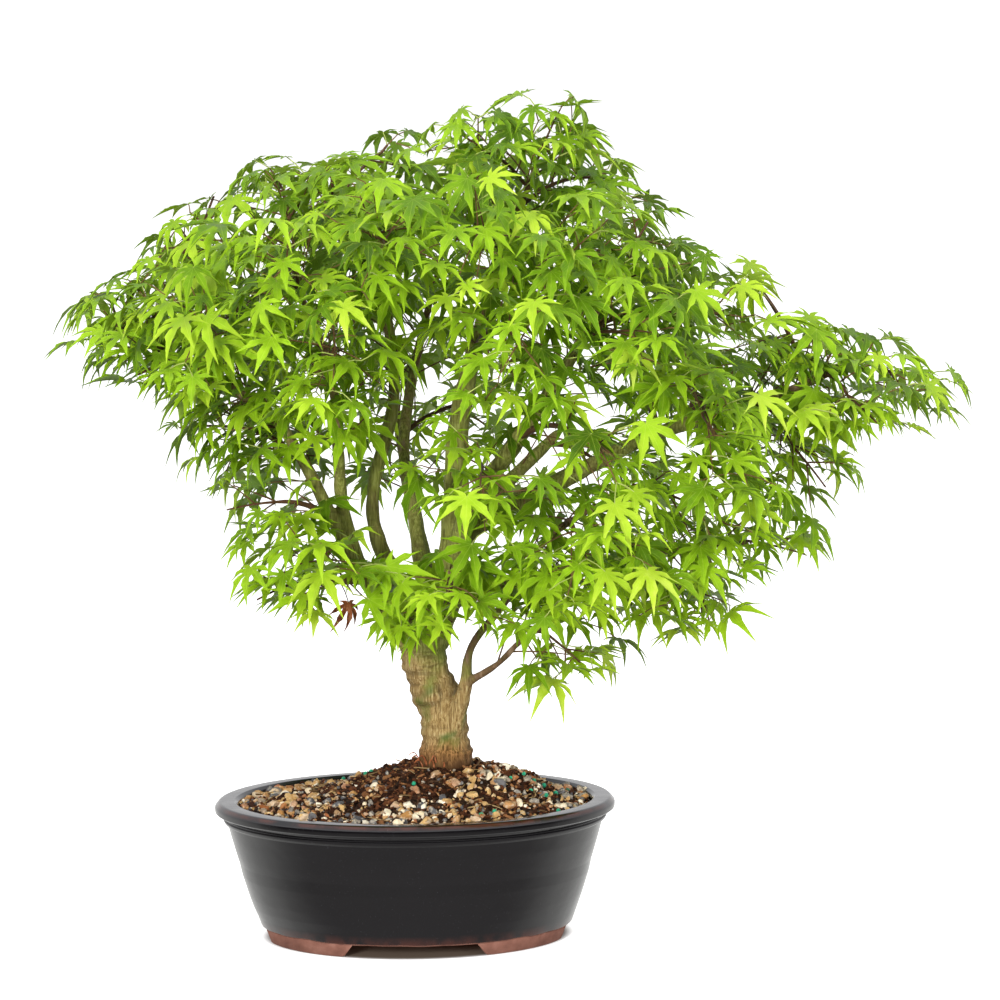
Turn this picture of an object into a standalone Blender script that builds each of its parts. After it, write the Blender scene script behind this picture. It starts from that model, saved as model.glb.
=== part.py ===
"""A Japanese maple bonsai in an oval glazed pot, modelled at real size.

The sizes below are in millimetres and the scene is in metres, +Z up. They are written from the middle
of the pot, on the surface that its feet stand on; X runs along the pot's long side, and -Y is the
front. At the end the whole tree is moved so that the origin lies under the middle of its box.

The pieces are the pot, two drainage screens, the soil, some loose stones, the wood (trunk, limbs and
branches, which grew as one piece) and the leafy shoots, one at the end of each branch.
"""

import math
import random

import bmesh
import bpy
from mathutils import Matrix, Vector
from mathutils.bvhtree import BVHTree

MM = 0.001

# Pot.
RIM_LENGTH = 305.0
RIM_WIDTH = 241.0
POT_HEIGHT = 105.5
POT_STEPS = 40
FOOT_HEIGHT = 10.0
UNDERSIDE = 11.5
FLOOR_TOP = 17.0
FRONT_NOTCH = (107.0, 91.0)
SIDE_NOTCH = (60.0, 48.0)
DRAIN_X = 58.0
DRAIN_RADIUS = 9.0
DRAIN_CUT = 24.0
SCREEN_SIDE = 34.0
SCREEN_THICKNESS = 1.6

# Soil, with the trunk's foot standing in it.
GAP = 0.3
SOIL_EDGE = 98.5
MOUND_RISE = 32.0
MOUND_FALL = 52.0
SOIL_REACH = 128.0
LUMP_HEIGHT = 1.2
TRUNK_X = 24.0
TRUNK_FOOT = 86.0
TRUNK_FOOT_RADIUS = 25.0
SOCKET_HEIGHT = 80.0
PEAK_RADIUS = 33.0

# Leaves: half of the outline as (angle from the tip in degrees, share of the blade's length), and
# each leaf's place as (share of the twig, side, how far ahead it aims).
BLADE = 38.0
BLADE_THICKNESS = 1.8
PETIOLE_REACH = 0.62
HALF_OUTLINE = ((0, 1.0), (21, 0.46), (41, 0.86), (66, 0.36), (92, 0.62), (153, 0.14))
LEAF_PLACES = ((0.28, -1, 0.1), (0.36, 1, 0.1), (0.78, -1, 0.4), (0.87, 1, 0.4), (0.95, 0, 1.0))
LEAF_TRIES = 18
CLEARANCE = 1.5
TWIG_RADIUS = 1.4
TWIG_LENGTH = 42.0
TWIG_SAG = 2.0
CROWN_MIDDLE = Vector((70, 0, 380))

# Routes of the trunk and the limbs, chosen point by point: x, y, z and radius.
TRUNK = (
    (24, 0, 86, 25), (24, 0, 132, 24), (24, 0, 148, 19.5), (22, 0, 168, 18), (16, 0, 188, 17.5),
    (10, 0, 206, 17), (8, 0, 220, 16.5), (9, 0, 232, 14),
)
LIMBS = {
    "left": (
        (6, 0, 216, 11), (-16, -5, 248, 9.5), (-36, -12, 280, 8), (-58, -20, 322, 6), (-78, -28, 365, 4.8),
        (-105, -30, 405, 4.2), (-160, -18, 437, 3.1), (-225, -15, 474, 1.8),
    ),
    "left_front": (
        (-40, -14, 288, 5.5), (-50, -22, 330, 5), (-52, -40, 370, 4.4), (-56, -70, 440, 3.2),
        (-80, -85, 505, 1.8),
    ),
    "middle": (
        (10, 5, 224, 11), (-8, 20, 262, 9), (-26, 25, 302, 7.4), (-28, 25, 341, 6.4), (-12, 25, 405, 5.8),
        (-14, 16, 460, 4.2), (-34, 5, 512, 3), (-58, 0, 556, 1.8),
    ),
    "middle_back": (
        (12, 12, 232, 9), (8, 45, 267, 7.4), (2, 64, 310, 6.2), (-6, 90, 364, 5), (4, 122, 430, 3.8),
        (28, 145, 520, 1.8),
    ),
    "leader": (
        (14, 0, 224, 13), (28, -2, 268, 12), (34, 2, 316, 10), (35, 4, 364, 8.4), (43, 5, 417, 7.2),
        (58, 0, 470, 6), (76, -5, 528, 4.4), (94, -2, 572, 1.8),
    ),
    "right_front": (
        (32, -2, 290, 8), (50, -36, 338, 7), (78, -56, 378, 6.2), (108, -72, 424, 5), (140, -76, 474, 3.6),
        (170, -66, 522, 1.8),
    ),
    "right": (
        (34, 4, 300, 8), (68, 30, 321, 7.4), (116, 44, 342, 6.6), (188, 40, 377, 5.6), (268, 20, 402, 4.2),
        (334, 0, 432, 2.8), (380, -8, 443, 1.8),
    ),
    "sucker": (
        (26, -6, 142, 8.5), (34, -15, 174, 8), (40, -19, 196, 7), (45, -23, 224, 4.8), (70, -39, 259, 4.2),
        (105, -61, 312, 3.3), (172, -92, 354, 1.8),
    ),
    "sucker_side": ((41, -19, 198, 4), (64, -41, 213, 2.9), (84, -62, 235, 2.4), (108, -84, 251, 1.8)),
    "back": (
        (14, 20, 236, 8), (12, 55, 262, 7.2), (6, 92, 284, 6.4), (-2, 130, 325, 5.2), (-12, 160, 375, 3.6),
        (-20, 175, 430, 1.8),
    ),
    "right_back": (
        (34, 8, 282, 7), (56, 72, 318, 5.8), (98, 120, 355, 4.6), (140, 146, 392, 3.2), (178, 152, 420, 1.8),
    ),
    "low_right": (
        (30, 0, 256, 6), (84, 12, 269, 5), (146, 15, 283, 3.9), (204, 10, 292, 2.8), (255, 0, 297, 1.8),
    ),
    "low_front": ((18, -8, 240, 5), (27, -60, 262, 3.8), (31, -115, 288, 2.4), (28, -135, 300, 1.8)),
    "low_left": ((-32, -10, 274, 4), (-58, -42, 278, 3), (-85, -62, 278, 1.8)),
}

# Middles of the leafy shoots, under the limb that each one's branch leaves.
SHOOTS = {
    "left": (
        (-218, -15, 480), (-180, 30, 525), (-140, -10, 565), (-195, -60, 440), (-160, 40, 395),
        (-140, -110, 485), (-120, -50, 345), (-120, 105, 480),
    ),
    "left_front": ((-80, -140, 525), (-45, -155, 465), (-95, 40, 580)),
    "middle": ((-50, -40, 605), (0, 45, 612), (-10, -145, 540)),
    "middle_back": ((-40, 130, 535), (70, 145, 545)),
    "leader": (
        (45, -30, 610), (108, -5, 612), (160, 45, 580), (55, -130, 545), (120, -110, 525), (85, -160, 470),
    ),
    "right_front": ((180, -45, 550), (165, -140, 475), (225, -65, 480), (140, -155, 395), (55, -165, 375)),
    "right": (
        (250, 15, 515), (318, 20, 450), (356, 0, 432), (335, -60, 405), (300, -25, 355), (215, -120, 405),
        (165, 130, 500), (225, 115, 420),
    ),
    "sucker": ((125, -150, 325), (215, -80, 340)),
    "sucker_side": ((125, -65, 232),),
    "back": ((-25, 170, 430), (75, 175, 400)),
    "right_back": ((165, 140, 340),),
    "low_right": ((270, 10, 300), (215, -40, 262)),
    "low_front": ((35, -140, 275), (-5, -70, 240)),
    "low_left": ((-95, -70, 280), (-50, -115, 312)),
}

# Loose stones on the mound: x, y and size.
STONES = (
    (94, 50, 14), (-66, -48, 11), (-24, -74, 10), (72, -58, 12), (96, -28, 9), (-98, 14, 10), (-40, 60, 11),
)

OVAL = RIM_WIDTH / RIM_LENGTH
HALF = RIM_LENGTH / 2


def make_collection(name):
    """Make a collection in the scene and return it."""
    collection = bpy.data.collections.new(name)
    bpy.context.scene.collection.children.link(collection)
    return collection


def make_material(name, colour, roughness):
    """Make a Principled material and return it."""
    material = bpy.data.materials.new(name)
    material.use_nodes = True
    shader = material.node_tree.nodes["Principled BSDF"]
    shader.inputs["Base Color"].default_value = (*colour, 1.0)
    shader.inputs["Roughness"].default_value = roughness
    return material


def add_object(name, data, collection, material=None):
    """Put a mesh or a curve into the scene under a name, and return the object."""
    item = bpy.data.objects.new(name, data)
    collection.objects.link(item)
    if material is not None:
        data.materials.append(material)
    return item


def evaluated_mesh(item):
    """Return a mesh of the object as its modifiers leave it, in the scene's own axes."""
    bpy.context.view_layer.update()
    graph = bpy.context.evaluated_depsgraph_get()
    mesh = bpy.data.meshes.new_from_object(item.evaluated_get(graph), depsgraph=graph)
    mesh.transform(item.matrix_world)
    return mesh


def add_cutter(item, cutter, operation="DIFFERENCE", use_self=False):
    """Join or cut an object by another one, which is hidden."""
    cutter.hide_render = True
    cutter.display_type = "WIRE"
    modifier = item.modifiers.new(cutter.name, "BOOLEAN")
    modifier.operation = operation
    modifier.object = cutter
    modifier.use_self = use_self


def joined(meshes, name):
    """Put several meshes into one, and remove them."""
    shape = bmesh.new()
    for mesh in meshes:
        shape.from_mesh(mesh)
        bpy.data.meshes.remove(mesh)
    result = bpy.data.meshes.new(name)
    shape.to_mesh(result)
    shape.free()
    return result


def fused(name, first, others, collection, material):
    """Unite overlapping closed meshes into one closed body, and return its object."""
    body = add_object(name + "_core", first, collection)
    rest = add_object(name + "_rest", joined(others, name + "_rest"), collection)
    add_cutter(body, rest, "UNION", use_self=True)
    mesh = evaluated_mesh(body)
    for item in (body, rest):
        old = item.data
        bpy.data.objects.remove(item)
        bpy.data.meshes.remove(old)
    mesh.name = name
    mesh.materials.clear()
    return add_object(name, mesh, collection, material)


def tree_of(item):
    """Return a search tree of the object's faces, for finding what would touch it."""
    mesh = evaluated_mesh(item)
    shape = bmesh.new()
    shape.from_mesh(mesh)
    bpy.data.meshes.remove(mesh)
    tree = BVHTree.FromBMesh(shape)
    shape.free()
    return tree


# Pot, screens and soil ------------------------------------------------------------------------------


def turned(name, profile, collection, material=None):
    """Turn a profile of (half-length, z) points into an oval body; it ends on the axis at both ends."""
    mesh = bpy.data.meshes.new(name)
    points = [(r * MM, 0.0, z * MM) for r, z in profile]
    mesh.from_pydata(points, [(i, i + 1) for i in range(len(points) - 1)], [])
    item = add_object(name, mesh, collection, material)
    item.scale.y = OVAL
    screw = item.modifiers.new("Turn", "SCREW")
    screw.steps = screw.render_steps = POT_STEPS
    screw.use_merge_vertices = True
    screw.merge_threshold = 0.00001
    screw.use_smooth_shade = True
    return item


def pot_profile():
    """Return the pot's profile: up the inside, over the lip, down the outside, under the foot ring."""
    inside = ((0, FLOOR_TOP), (100, FLOOR_TOP), (112, FLOOR_TOP + 6), (124, 55), (133, 97), (134.5, 103.5))
    lip = ((137, POT_HEIGHT), (150.5, POT_HEIGHT), (HALF, 103.6), (152, 95), (150.2, 93))
    bead = ((144.6, 91.5), (144.8, 88), (143, 86))
    wall = ((140, 78), (134.6, 60), (132.4, 51), (126.8, 32), (120.5, 16), (117, 4), (116, 0))
    foot = ((101, 0), (100, UNDERSIDE), (0, UNDERSIDE))
    return inside + lip + bead + wall + foot


def wedge(name, widths, length, along_x, collection):
    """Make the cutter of a notch with sloping sides, running through the pot below its floor."""
    bottom, top = (width / 2 for width in widths)
    slope = (bottom - top) / FOOT_HEIGHT
    low = bottom + slope * GAP
    outline = [(-low, -GAP), (low, -GAP), (top, FOOT_HEIGHT), (-top, FOOT_HEIGHT)]
    curve = bpy.data.curves.new(name, "CURVE")
    curve.dimensions = "2D"
    curve.fill_mode = "BOTH"
    curve.extrude = length / 2 * MM
    spline = curve.splines.new("POLY")
    spline.points.add(len(outline) - 1)
    for point, (across, up) in zip(spline.points, outline):
        point.co = (across * MM, up * MM, 0.0, 1.0)
    spline.use_cyclic_u = True
    guide = add_object(name + "_outline", curve, collection)
    guide.rotation_euler = (math.pi / 2, 0.0, math.pi / 2 if along_x else 0.0)
    mesh = welded_mesh(guide)
    bpy.data.objects.remove(guide)
    bpy.data.curves.remove(curve)
    return add_object(name, mesh, collection)


def welded_mesh(item):
    """Return a curve object's mesh, with the caps welded to its sides."""
    mesh = evaluated_mesh(item)
    shape = bmesh.new()
    shape.from_mesh(mesh)
    bmesh.ops.remove_doubles(shape, verts=shape.verts, dist=0.000001)
    bmesh.ops.recalc_face_normals(shape, faces=shape.faces)
    shape.to_mesh(mesh)
    shape.free()
    return mesh


def make_pot(parts, cutters):
    """Make the pot: turned, then cut by two notches that leave four feet, and by two drain holes."""
    glaze = make_material("dark_blue_glaze", (0.018, 0.022, 0.030), 0.32)
    pot = turned("pot", pot_profile(), parts, glaze)
    add_cutter(pot, wedge("front_notch", FRONT_NOTCH, RIM_WIDTH, False, cutters))
    add_cutter(pot, wedge("side_notch", SIDE_NOTCH, RIM_LENGTH, True, cutters))
    for side, x in (("left", -DRAIN_X), ("right", DRAIN_X)):
        bpy.ops.mesh.primitive_cylinder_add(
            vertices=20, radius=DRAIN_RADIUS * MM, depth=DRAIN_CUT * MM,
            location=(x * MM, 0, UNDERSIDE * MM))
        cutter = take_primitive("drain_cutter_" + side, cutters)
        add_cutter(pot, cutter)
    return pot


def take_primitive(name, collection, material=None):
    """Name the primitive that was just added, and move it to a collection."""
    item = bpy.context.object
    item.name = item.data.name = name
    for holder in list(item.users_collection):
        holder.objects.unlink(item)
    collection.objects.link(item)
    if material is not None:
        item.data.materials.append(material)
    return item


def add_box(name, size, middle, collection, material=None):
    """Add a box of a size, in millimetres, around a middle point."""
    bpy.ops.mesh.primitive_cube_add(size=1, location=Vector(middle) * MM)
    box = take_primitive(name, collection, material)
    box.data.transform(Matrix.Diagonal((*(Vector(size) * MM), 1.0)))
    return box


def make_screens(parts):
    """Lay a square of drainage screen over each hole."""
    plastic = make_material("black_plastic", (0.02, 0.02, 0.02), 0.6)
    size = (SCREEN_SIDE, SCREEN_SIDE, SCREEN_THICKNESS)
    middle_z = FLOOR_TOP + GAP + SCREEN_THICKNESS / 2
    for side, x in (("left", -DRAIN_X), ("right", DRAIN_X)):
        add_box("drainage_screen_" + side, size, (x, 0, middle_z), parts, plastic)


def mound_height(x, y):
    """Return the soil's height at a place: a lumpy mound, with its smooth peak around the trunk."""
    inward = 1.0 - min(1.0, math.hypot(x, y / OVAL) / SOIL_REACH)
    away = max(0.0, math.hypot(x - TRUNK_X, y / OVAL) - PEAK_RADIUS)
    height = MOUND_RISE * math.exp(-(away / MOUND_FALL) ** 1.6)
    if away > 12.0:
        height += LUMP_HEIGHT * math.sin(x / 9.0 + 0.7) * math.sin(y / 8.0 + 1.9)
    return SOIL_EDGE + min(1.0, 3.0 * inward) * height


def make_soil(parts, cutters):
    """Make the soil: it fills the pot to a mound, with a socket for the trunk and pockets for screens."""
    earth = make_material("soil", (0.05, 0.035, 0.022), 0.95)
    below = FLOOR_TOP + GAP
    wall = ((133 - GAP, 97), (124 - GAP, 55), (112 - 2 * GAP, FLOOR_TOP + 6 + GAP), (100 - GAP, below))
    rings = [(r, SOIL_EDGE) for r in (0, 22, 44, 60, 74, 88, 102, 116, 127)]
    profile = (*rings, *wall, (0, below))
    turning = turned("soil_turned", profile, cutters)
    mesh = evaluated_mesh(turning)
    old = turning.data
    bpy.data.objects.remove(turning)
    bpy.data.meshes.remove(old)
    for vertex in mesh.vertices:
        if vertex.co.z > (SOIL_EDGE - 0.1) * MM:
            vertex.co.z = mound_height(vertex.co.x / MM, vertex.co.y / MM) * MM
    soil = add_object("soil", mesh, parts, earth)
    pocket = SCREEN_SIDE + 2 * GAP
    for side, x in (("left", -DRAIN_X), ("right", DRAIN_X)):
        depth = 2 * (SCREEN_THICKNESS + 2 * GAP)
        box = add_box("pocket_" + side, (pocket, pocket, depth), (x, 0, FLOOR_TOP), cutters)
        add_cutter(soil, box)
    socket_radius = TRUNK_FOOT_RADIUS + 2 * GAP
    bpy.ops.mesh.primitive_cylinder_add(
        vertices=24, radius=socket_radius * MM, depth=SOCKET_HEIGHT * MM,
        location=(TRUNK_X * MM, 0, (TRUNK_FOOT - GAP + SOCKET_HEIGHT / 2) * MM))
    add_cutter(soil, take_primitive("socket", cutters))
    return soil


def make_stones(parts, soil_tree):
    """Lay loose stones on the mound, each a squashed, uneven ball that just clears the soil."""
    grit = make_material("stone", (0.30, 0.29, 0.27), 0.85)
    for number, (x, y, size) in enumerate(STONES, start=1):
        chance = random.Random(number)
        shape = bmesh.new()
        bmesh.ops.create_icosphere(shape, subdivisions=1, radius=size / 2 * MM)
        for vertex in shape.verts:
            vertex.co *= chance.uniform(0.82, 1.08)
        turn = Matrix.Rotation(chance.uniform(0, math.tau), 4, "Z")
        bmesh.ops.transform(shape, matrix=turn @ Matrix.Diagonal((1.15, 0.9, 0.62, 1)), verts=shape.verts)
        lift = 0.0
        for vertex in shape.verts:
            start = Vector((vertex.co.x + x * MM, vertex.co.y + y * MM, 1.0))
            ground = soil_tree.ray_cast(start, Vector((0, 0, -1)))[0]
            lift = max(lift, ground.z - vertex.co.z)
        shape.transform(Matrix.Translation((x * MM, y * MM, lift + GAP * MM)))
        add_object("stone_%02d" % number, to_mesh(shape, "stone_%02d" % number), parts, grit)


# Wood -----------------------------------------------------------------------------------------------


def smooth_route(points, parts_each):
    """Return a smooth route through points of (x, y, z, radius), with more points on each stretch."""
    ends = [points[0], *points, points[-1]]
    route = []
    for k in range(1, len(ends) - 2):
        p0, p1, p2, p3 = (Vector(ends[k + j]) for j in (-1, 0, 1, 2))
        for step in range(parts_each):
            t = step / parts_each
            bend = (p2 - p0) * t + (2 * p0 - 5 * p1 + 4 * p2 - p3) * t * t
            bend += (3 * p1 - p0 - 3 * p2 + p3) * t * t * t
            route.append(p1 + bend / 2)
    route.append(Vector(ends[-1]))
    return route


def tube(name, route, sides, collection):
    """Make a closed, tapering tube along a route of (x, y, z, radius) points, and return its mesh."""
    curve = bpy.data.curves.new(name, "CURVE")
    curve.dimensions = "3D"
    curve.bevel_depth = MM
    curve.bevel_resolution = max(0, sides // 2 - 2)
    curve.use_fill_caps = True
    spline = curve.splines.new("POLY")
    spline.points.add(len(route) - 1)
    for point, place in zip(spline.points, route):
        point.co = (place[0] * MM, place[1] * MM, place[2] * MM, 1.0)
        point.radius = place[3]
    guide = add_object(name, curve, collection)
    mesh = welded_mesh(guide)
    bpy.data.objects.remove(guide)
    bpy.data.curves.remove(curve)
    return mesh


def branch_route(limb, middle):
    """Return a branch's route, from the fit place on its limb to short of the shoot's middle."""
    goal = Vector(middle)
    usable = limb[len(limb) // 4:-1]

    def cost(place):
        towards = goal - place.xyz
        return towards.length + max(0.0, 30.0 - towards.z) * 0.8

    start = min(usable, key=cost)
    towards = goal - start.xyz
    length = max(8.0, towards.length - TWIG_LENGTH * 0.55)
    end = start.xyz + towards.normalized() * length
    rise = Vector((0, 0, 0.10 * length))
    first_radius = min(0.62 * start.w, 3.2)
    last_radius = TWIG_RADIUS + 0.1
    inner = start.xyz - towards.normalized() * 0.3 * start.w
    route = [(*inner, first_radius)]
    for share in (0.36, 0.70):
        place = inner.lerp(end, share) + rise * math.sin(math.pi * share)
        route.append((*place, first_radius + (last_radius - first_radius) * share))
    route.append((*end, last_radius))
    return [Vector(place) for place in route]


def make_wood(parts, cutters):
    """Grow the trunk, the limbs and the branches as one body; return it and each shoot's start."""
    bark = make_material("bark", (0.22, 0.17, 0.09), 0.8)
    trunk = tube("trunk", smooth_route(TRUNK, 2), 12, cutters)
    growth = []
    starts = []
    for name, points in LIMBS.items():
        growth.append(tube(name, smooth_route(points, 1), 6, cutters))
        limb = smooth_route(points, 6)
        for middle in SHOOTS[name]:
            route = branch_route(limb, middle)
            growth.append(tube("branch", route, 4, cutters))
            starts.append((route[-2], route[-1], Vector(middle)))
    wood = fused("trunk_and_branches", trunk, growth, parts, bark)
    wood.data.shade_smooth()
    return wood, starts


# Leafy shoots ---------------------------------------------------------------------------------------


def blade_shape(thickness):
    """Return a palmate leaf as a thin closed body: tip along +X, its stalk's end at -X, face up."""
    mirrored = [(360 - angle, share) for angle, share in reversed(HALF_OUTLINE[1:])]
    outline = [*HALF_OUTLINE, (180, PETIOLE_REACH), *mirrored]
    shape = bmesh.new()
    bmesh.ops.create_uvsphere(shape, u_segments=len(outline), v_segments=2, radius=1.0)
    rim = [vertex for vertex in shape.verts if abs(vertex.co.z) < 0.5]
    rim.sort(key=lambda vertex: math.atan2(vertex.co.y, vertex.co.x) % math.tau)
    for vertex in shape.verts:
        if vertex not in rim:
            vertex.co = (0.0, 0.0, math.copysign(thickness / 2 * MM, vertex.co.z))
    for vertex, (angle, share) in zip(rim, outline):
        turn = math.radians(angle)
        reach = share * BLADE * MM
        droop = 0.0 if abs(angle - 180) < 40 else -0.28 * reach * share
        vertex.co = (reach * math.cos(turn), reach * math.sin(turn), droop)
    return shape


def placed_leaf(knot, tip, face, size, thickness):
    """Return a leaf's shape with its stalk's end just through a knot, its tip along a direction."""
    along = tip.normalized()
    across = face.cross(along).normalized()
    turn = Matrix((along, across, along.cross(across))).transposed().to_4x4()
    stalk = PETIOLE_REACH * BLADE - 2 * TWIG_RADIUS
    shape = blade_shape(thickness)
    shape.transform(Matrix.Translation(knot + along * stalk * size * MM) @ turn @ Matrix.Scale(size, 4))
    return shape


def is_clear(shape, obstacles):
    """Tell whether a shape keeps off every obstacle."""
    tree = BVHTree.FromBMesh(shape)
    return not any(tree.overlap(other) for other in obstacles)


def to_mesh(shape, name):
    """Turn a working shape into a mesh, and free it."""
    mesh = bpy.data.meshes.new(name)
    shape.to_mesh(mesh)
    shape.free()
    return mesh


def grow_leaf(chance, knot, outward, aim, obstacles, own_leaves):
    """Try places for one leaf until it is clear; the later tries let it cross its own shoot's leaves."""
    for attempt in range(LEAF_TRIES):
        neighbours = obstacles + own_leaves if attempt < LEAF_TRIES / 2 else obstacles
        spread = 0.18 + 0.02 * attempt
        scatter = Vector([chance.gauss(0, spread) for _ in range(3)])
        tip = aim + 0.35 * outward + Vector((0, 0, -0.45)) + scatter
        face = 0.9 * outward + Vector((0, 0, 0.55)) + scatter
        size = chance.uniform(0.9, 1.1)
        probe = placed_leaf(knot, tip, face, size, BLADE_THICKNESS + CLEARANCE)
        free = is_clear(probe, neighbours)
        probe.free()
        if free:
            return placed_leaf(knot, tip, face, size, BLADE_THICKNESS)
    return None


def grow_twig(chance, start, outward, cutters, obstacles):
    """Try directions for a shoot's twig until it is clear; return its route and mesh, or None."""
    before, end, _ = start
    onward = (end.xyz - before.xyz).normalized()
    first = end.xyz + onward * 2 * GAP
    for _ in range(LEAF_TRIES):
        scatter = Vector([chance.gauss(0, 0.12) for _ in range(3)])
        heading = (onward + 0.35 * outward + scatter).normalized()
        middle = first + heading * TWIG_LENGTH * 0.55
        last = first + heading * TWIG_LENGTH - Vector((0, 0, TWIG_SAG))
        route = [(*first, TWIG_RADIUS), (*middle, TWIG_RADIUS), (*last, 0.8 * TWIG_RADIUS)]
        mesh = tube("twig", route, 4, cutters)
        shape = bmesh.new()
        shape.from_mesh(mesh)
        free = is_clear(shape, obstacles)
        shape.free()
        if free:
            return (first, middle, last), mesh
        bpy.data.meshes.remove(mesh)
    return None, None


def make_shoot(number, start, material, parts, cutters, obstacles):
    """Grow one shoot from a branch's end: a twig with leaves in pairs, fused into one body."""
    chance = random.Random(100 + number)
    outward = (start[2] - CROWN_MIDDLE).normalized()
    outward = (outward + Vector((0, -0.25, 0.15))).normalized()
    knots, twig = grow_twig(chance, start, outward, cutters, obstacles)
    if twig is None:
        return None
    first, middle, last = knots
    heading = (last - first).normalized()
    side = heading.cross(Vector((0, 0, 1))).normalized()
    leaves = []
    own_leaves = []
    for share, way, ahead in LEAF_PLACES:
        knot = first.lerp(middle, 2 * share) if share < 0.5 else middle.lerp(last, 2 * share - 1)
        aim = way * side + ahead * heading
        leaf = grow_leaf(chance, knot * MM, outward, aim, obstacles, own_leaves)
        if leaf is not None:
            own_leaves.append(BVHTree.FromBMesh(leaf))
            leaves.append(to_mesh(leaf, "leaf"))
    return fused("shoot_%02d" % number, twig, leaves, parts, material)


def make_shoots(starts, parts, cutters, obstacles):
    """Grow all the shoots, each clear of the wood, the pot and the shoots before it."""
    green = make_material("leaf", (0.34, 0.44, 0.05), 0.55)
    for number, start in enumerate(starts, start=1):
        shoot = make_shoot(number, start, green, parts, cutters, obstacles)
        if shoot is not None:
            obstacles.append(tree_of(shoot))


# Whole tree -----------------------------------------------------------------------------------------


def stand_on_origin(parts, cutters):
    """Hang everything on an empty, and move it so that the box's bottom middle is the origin."""
    low = Vector((math.inf,) * 3)
    high = Vector((-math.inf,) * 3)
    for item in parts.objects:
        mesh = evaluated_mesh(item)
        for vertex in mesh.vertices:
            low = Vector(map(min, low, vertex.co))
            high = Vector(map(max, high, vertex.co))
        bpy.data.meshes.remove(mesh)
    holder = bpy.data.objects.new("tree_origin", None)
    parts.objects.link(holder)
    for item in (*parts.objects, *cutters.objects):
        if item is not holder:
            item.parent = holder
    holder.location = (-(low.x + high.x) / 2, -(low.y + high.y) / 2, -low.z)


def main():
    """Clear the scene and build the tree."""
    for item in list(bpy.data.objects):
        bpy.data.objects.remove(item)
    parts = make_collection("maple_bonsai")
    cutters = make_collection("cutters")
    pot = make_pot(parts, cutters)
    make_screens(parts)
    soil = make_soil(parts, cutters)
    soil_tree = tree_of(soil)
    make_stones(parts, soil_tree)
    wood, starts = make_wood(parts, cutters)
    make_shoots(starts, parts, cutters, [tree_of(pot), soil_tree, tree_of(wood)])
    stand_on_origin(parts, cutters)


main()
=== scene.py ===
"""Finished model of a Japanese maple bonsai in an oval glazed pot.

Every piece is worked out from the frame's boxes and from the tree's plan, and rides on the one body.
Lengths are metres; names that end in _MM hold millimetres.
"""

import logging
import math
import random
from dataclasses import dataclass, field
from enum import Enum
from typing import Iterable, Sequence

import bmesh
import bpy
import numpy as np
from mathutils import Matrix, Vector, kdtree, noise


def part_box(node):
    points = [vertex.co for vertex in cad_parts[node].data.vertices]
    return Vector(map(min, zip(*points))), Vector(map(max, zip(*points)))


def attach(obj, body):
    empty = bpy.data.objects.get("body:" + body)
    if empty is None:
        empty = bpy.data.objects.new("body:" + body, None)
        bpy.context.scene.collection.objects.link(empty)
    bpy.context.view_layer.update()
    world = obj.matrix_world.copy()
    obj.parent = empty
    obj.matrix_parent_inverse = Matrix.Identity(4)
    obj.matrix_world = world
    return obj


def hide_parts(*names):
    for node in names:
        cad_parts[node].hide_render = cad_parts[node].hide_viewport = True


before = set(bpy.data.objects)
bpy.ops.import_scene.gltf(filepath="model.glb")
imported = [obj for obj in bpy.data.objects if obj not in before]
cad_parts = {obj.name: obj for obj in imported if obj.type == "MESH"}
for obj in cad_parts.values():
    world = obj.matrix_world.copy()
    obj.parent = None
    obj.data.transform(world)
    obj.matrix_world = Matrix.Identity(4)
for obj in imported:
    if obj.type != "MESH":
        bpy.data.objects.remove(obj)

LOG = logging.getLogger("bonsai")
MM = 0.001
BODY = "root"
UP = Vector((0.0, 0.0, 1.0))
Colour = tuple[float, float, float]


# Tree plan ------------------------------------------------------------------------------------------

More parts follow.
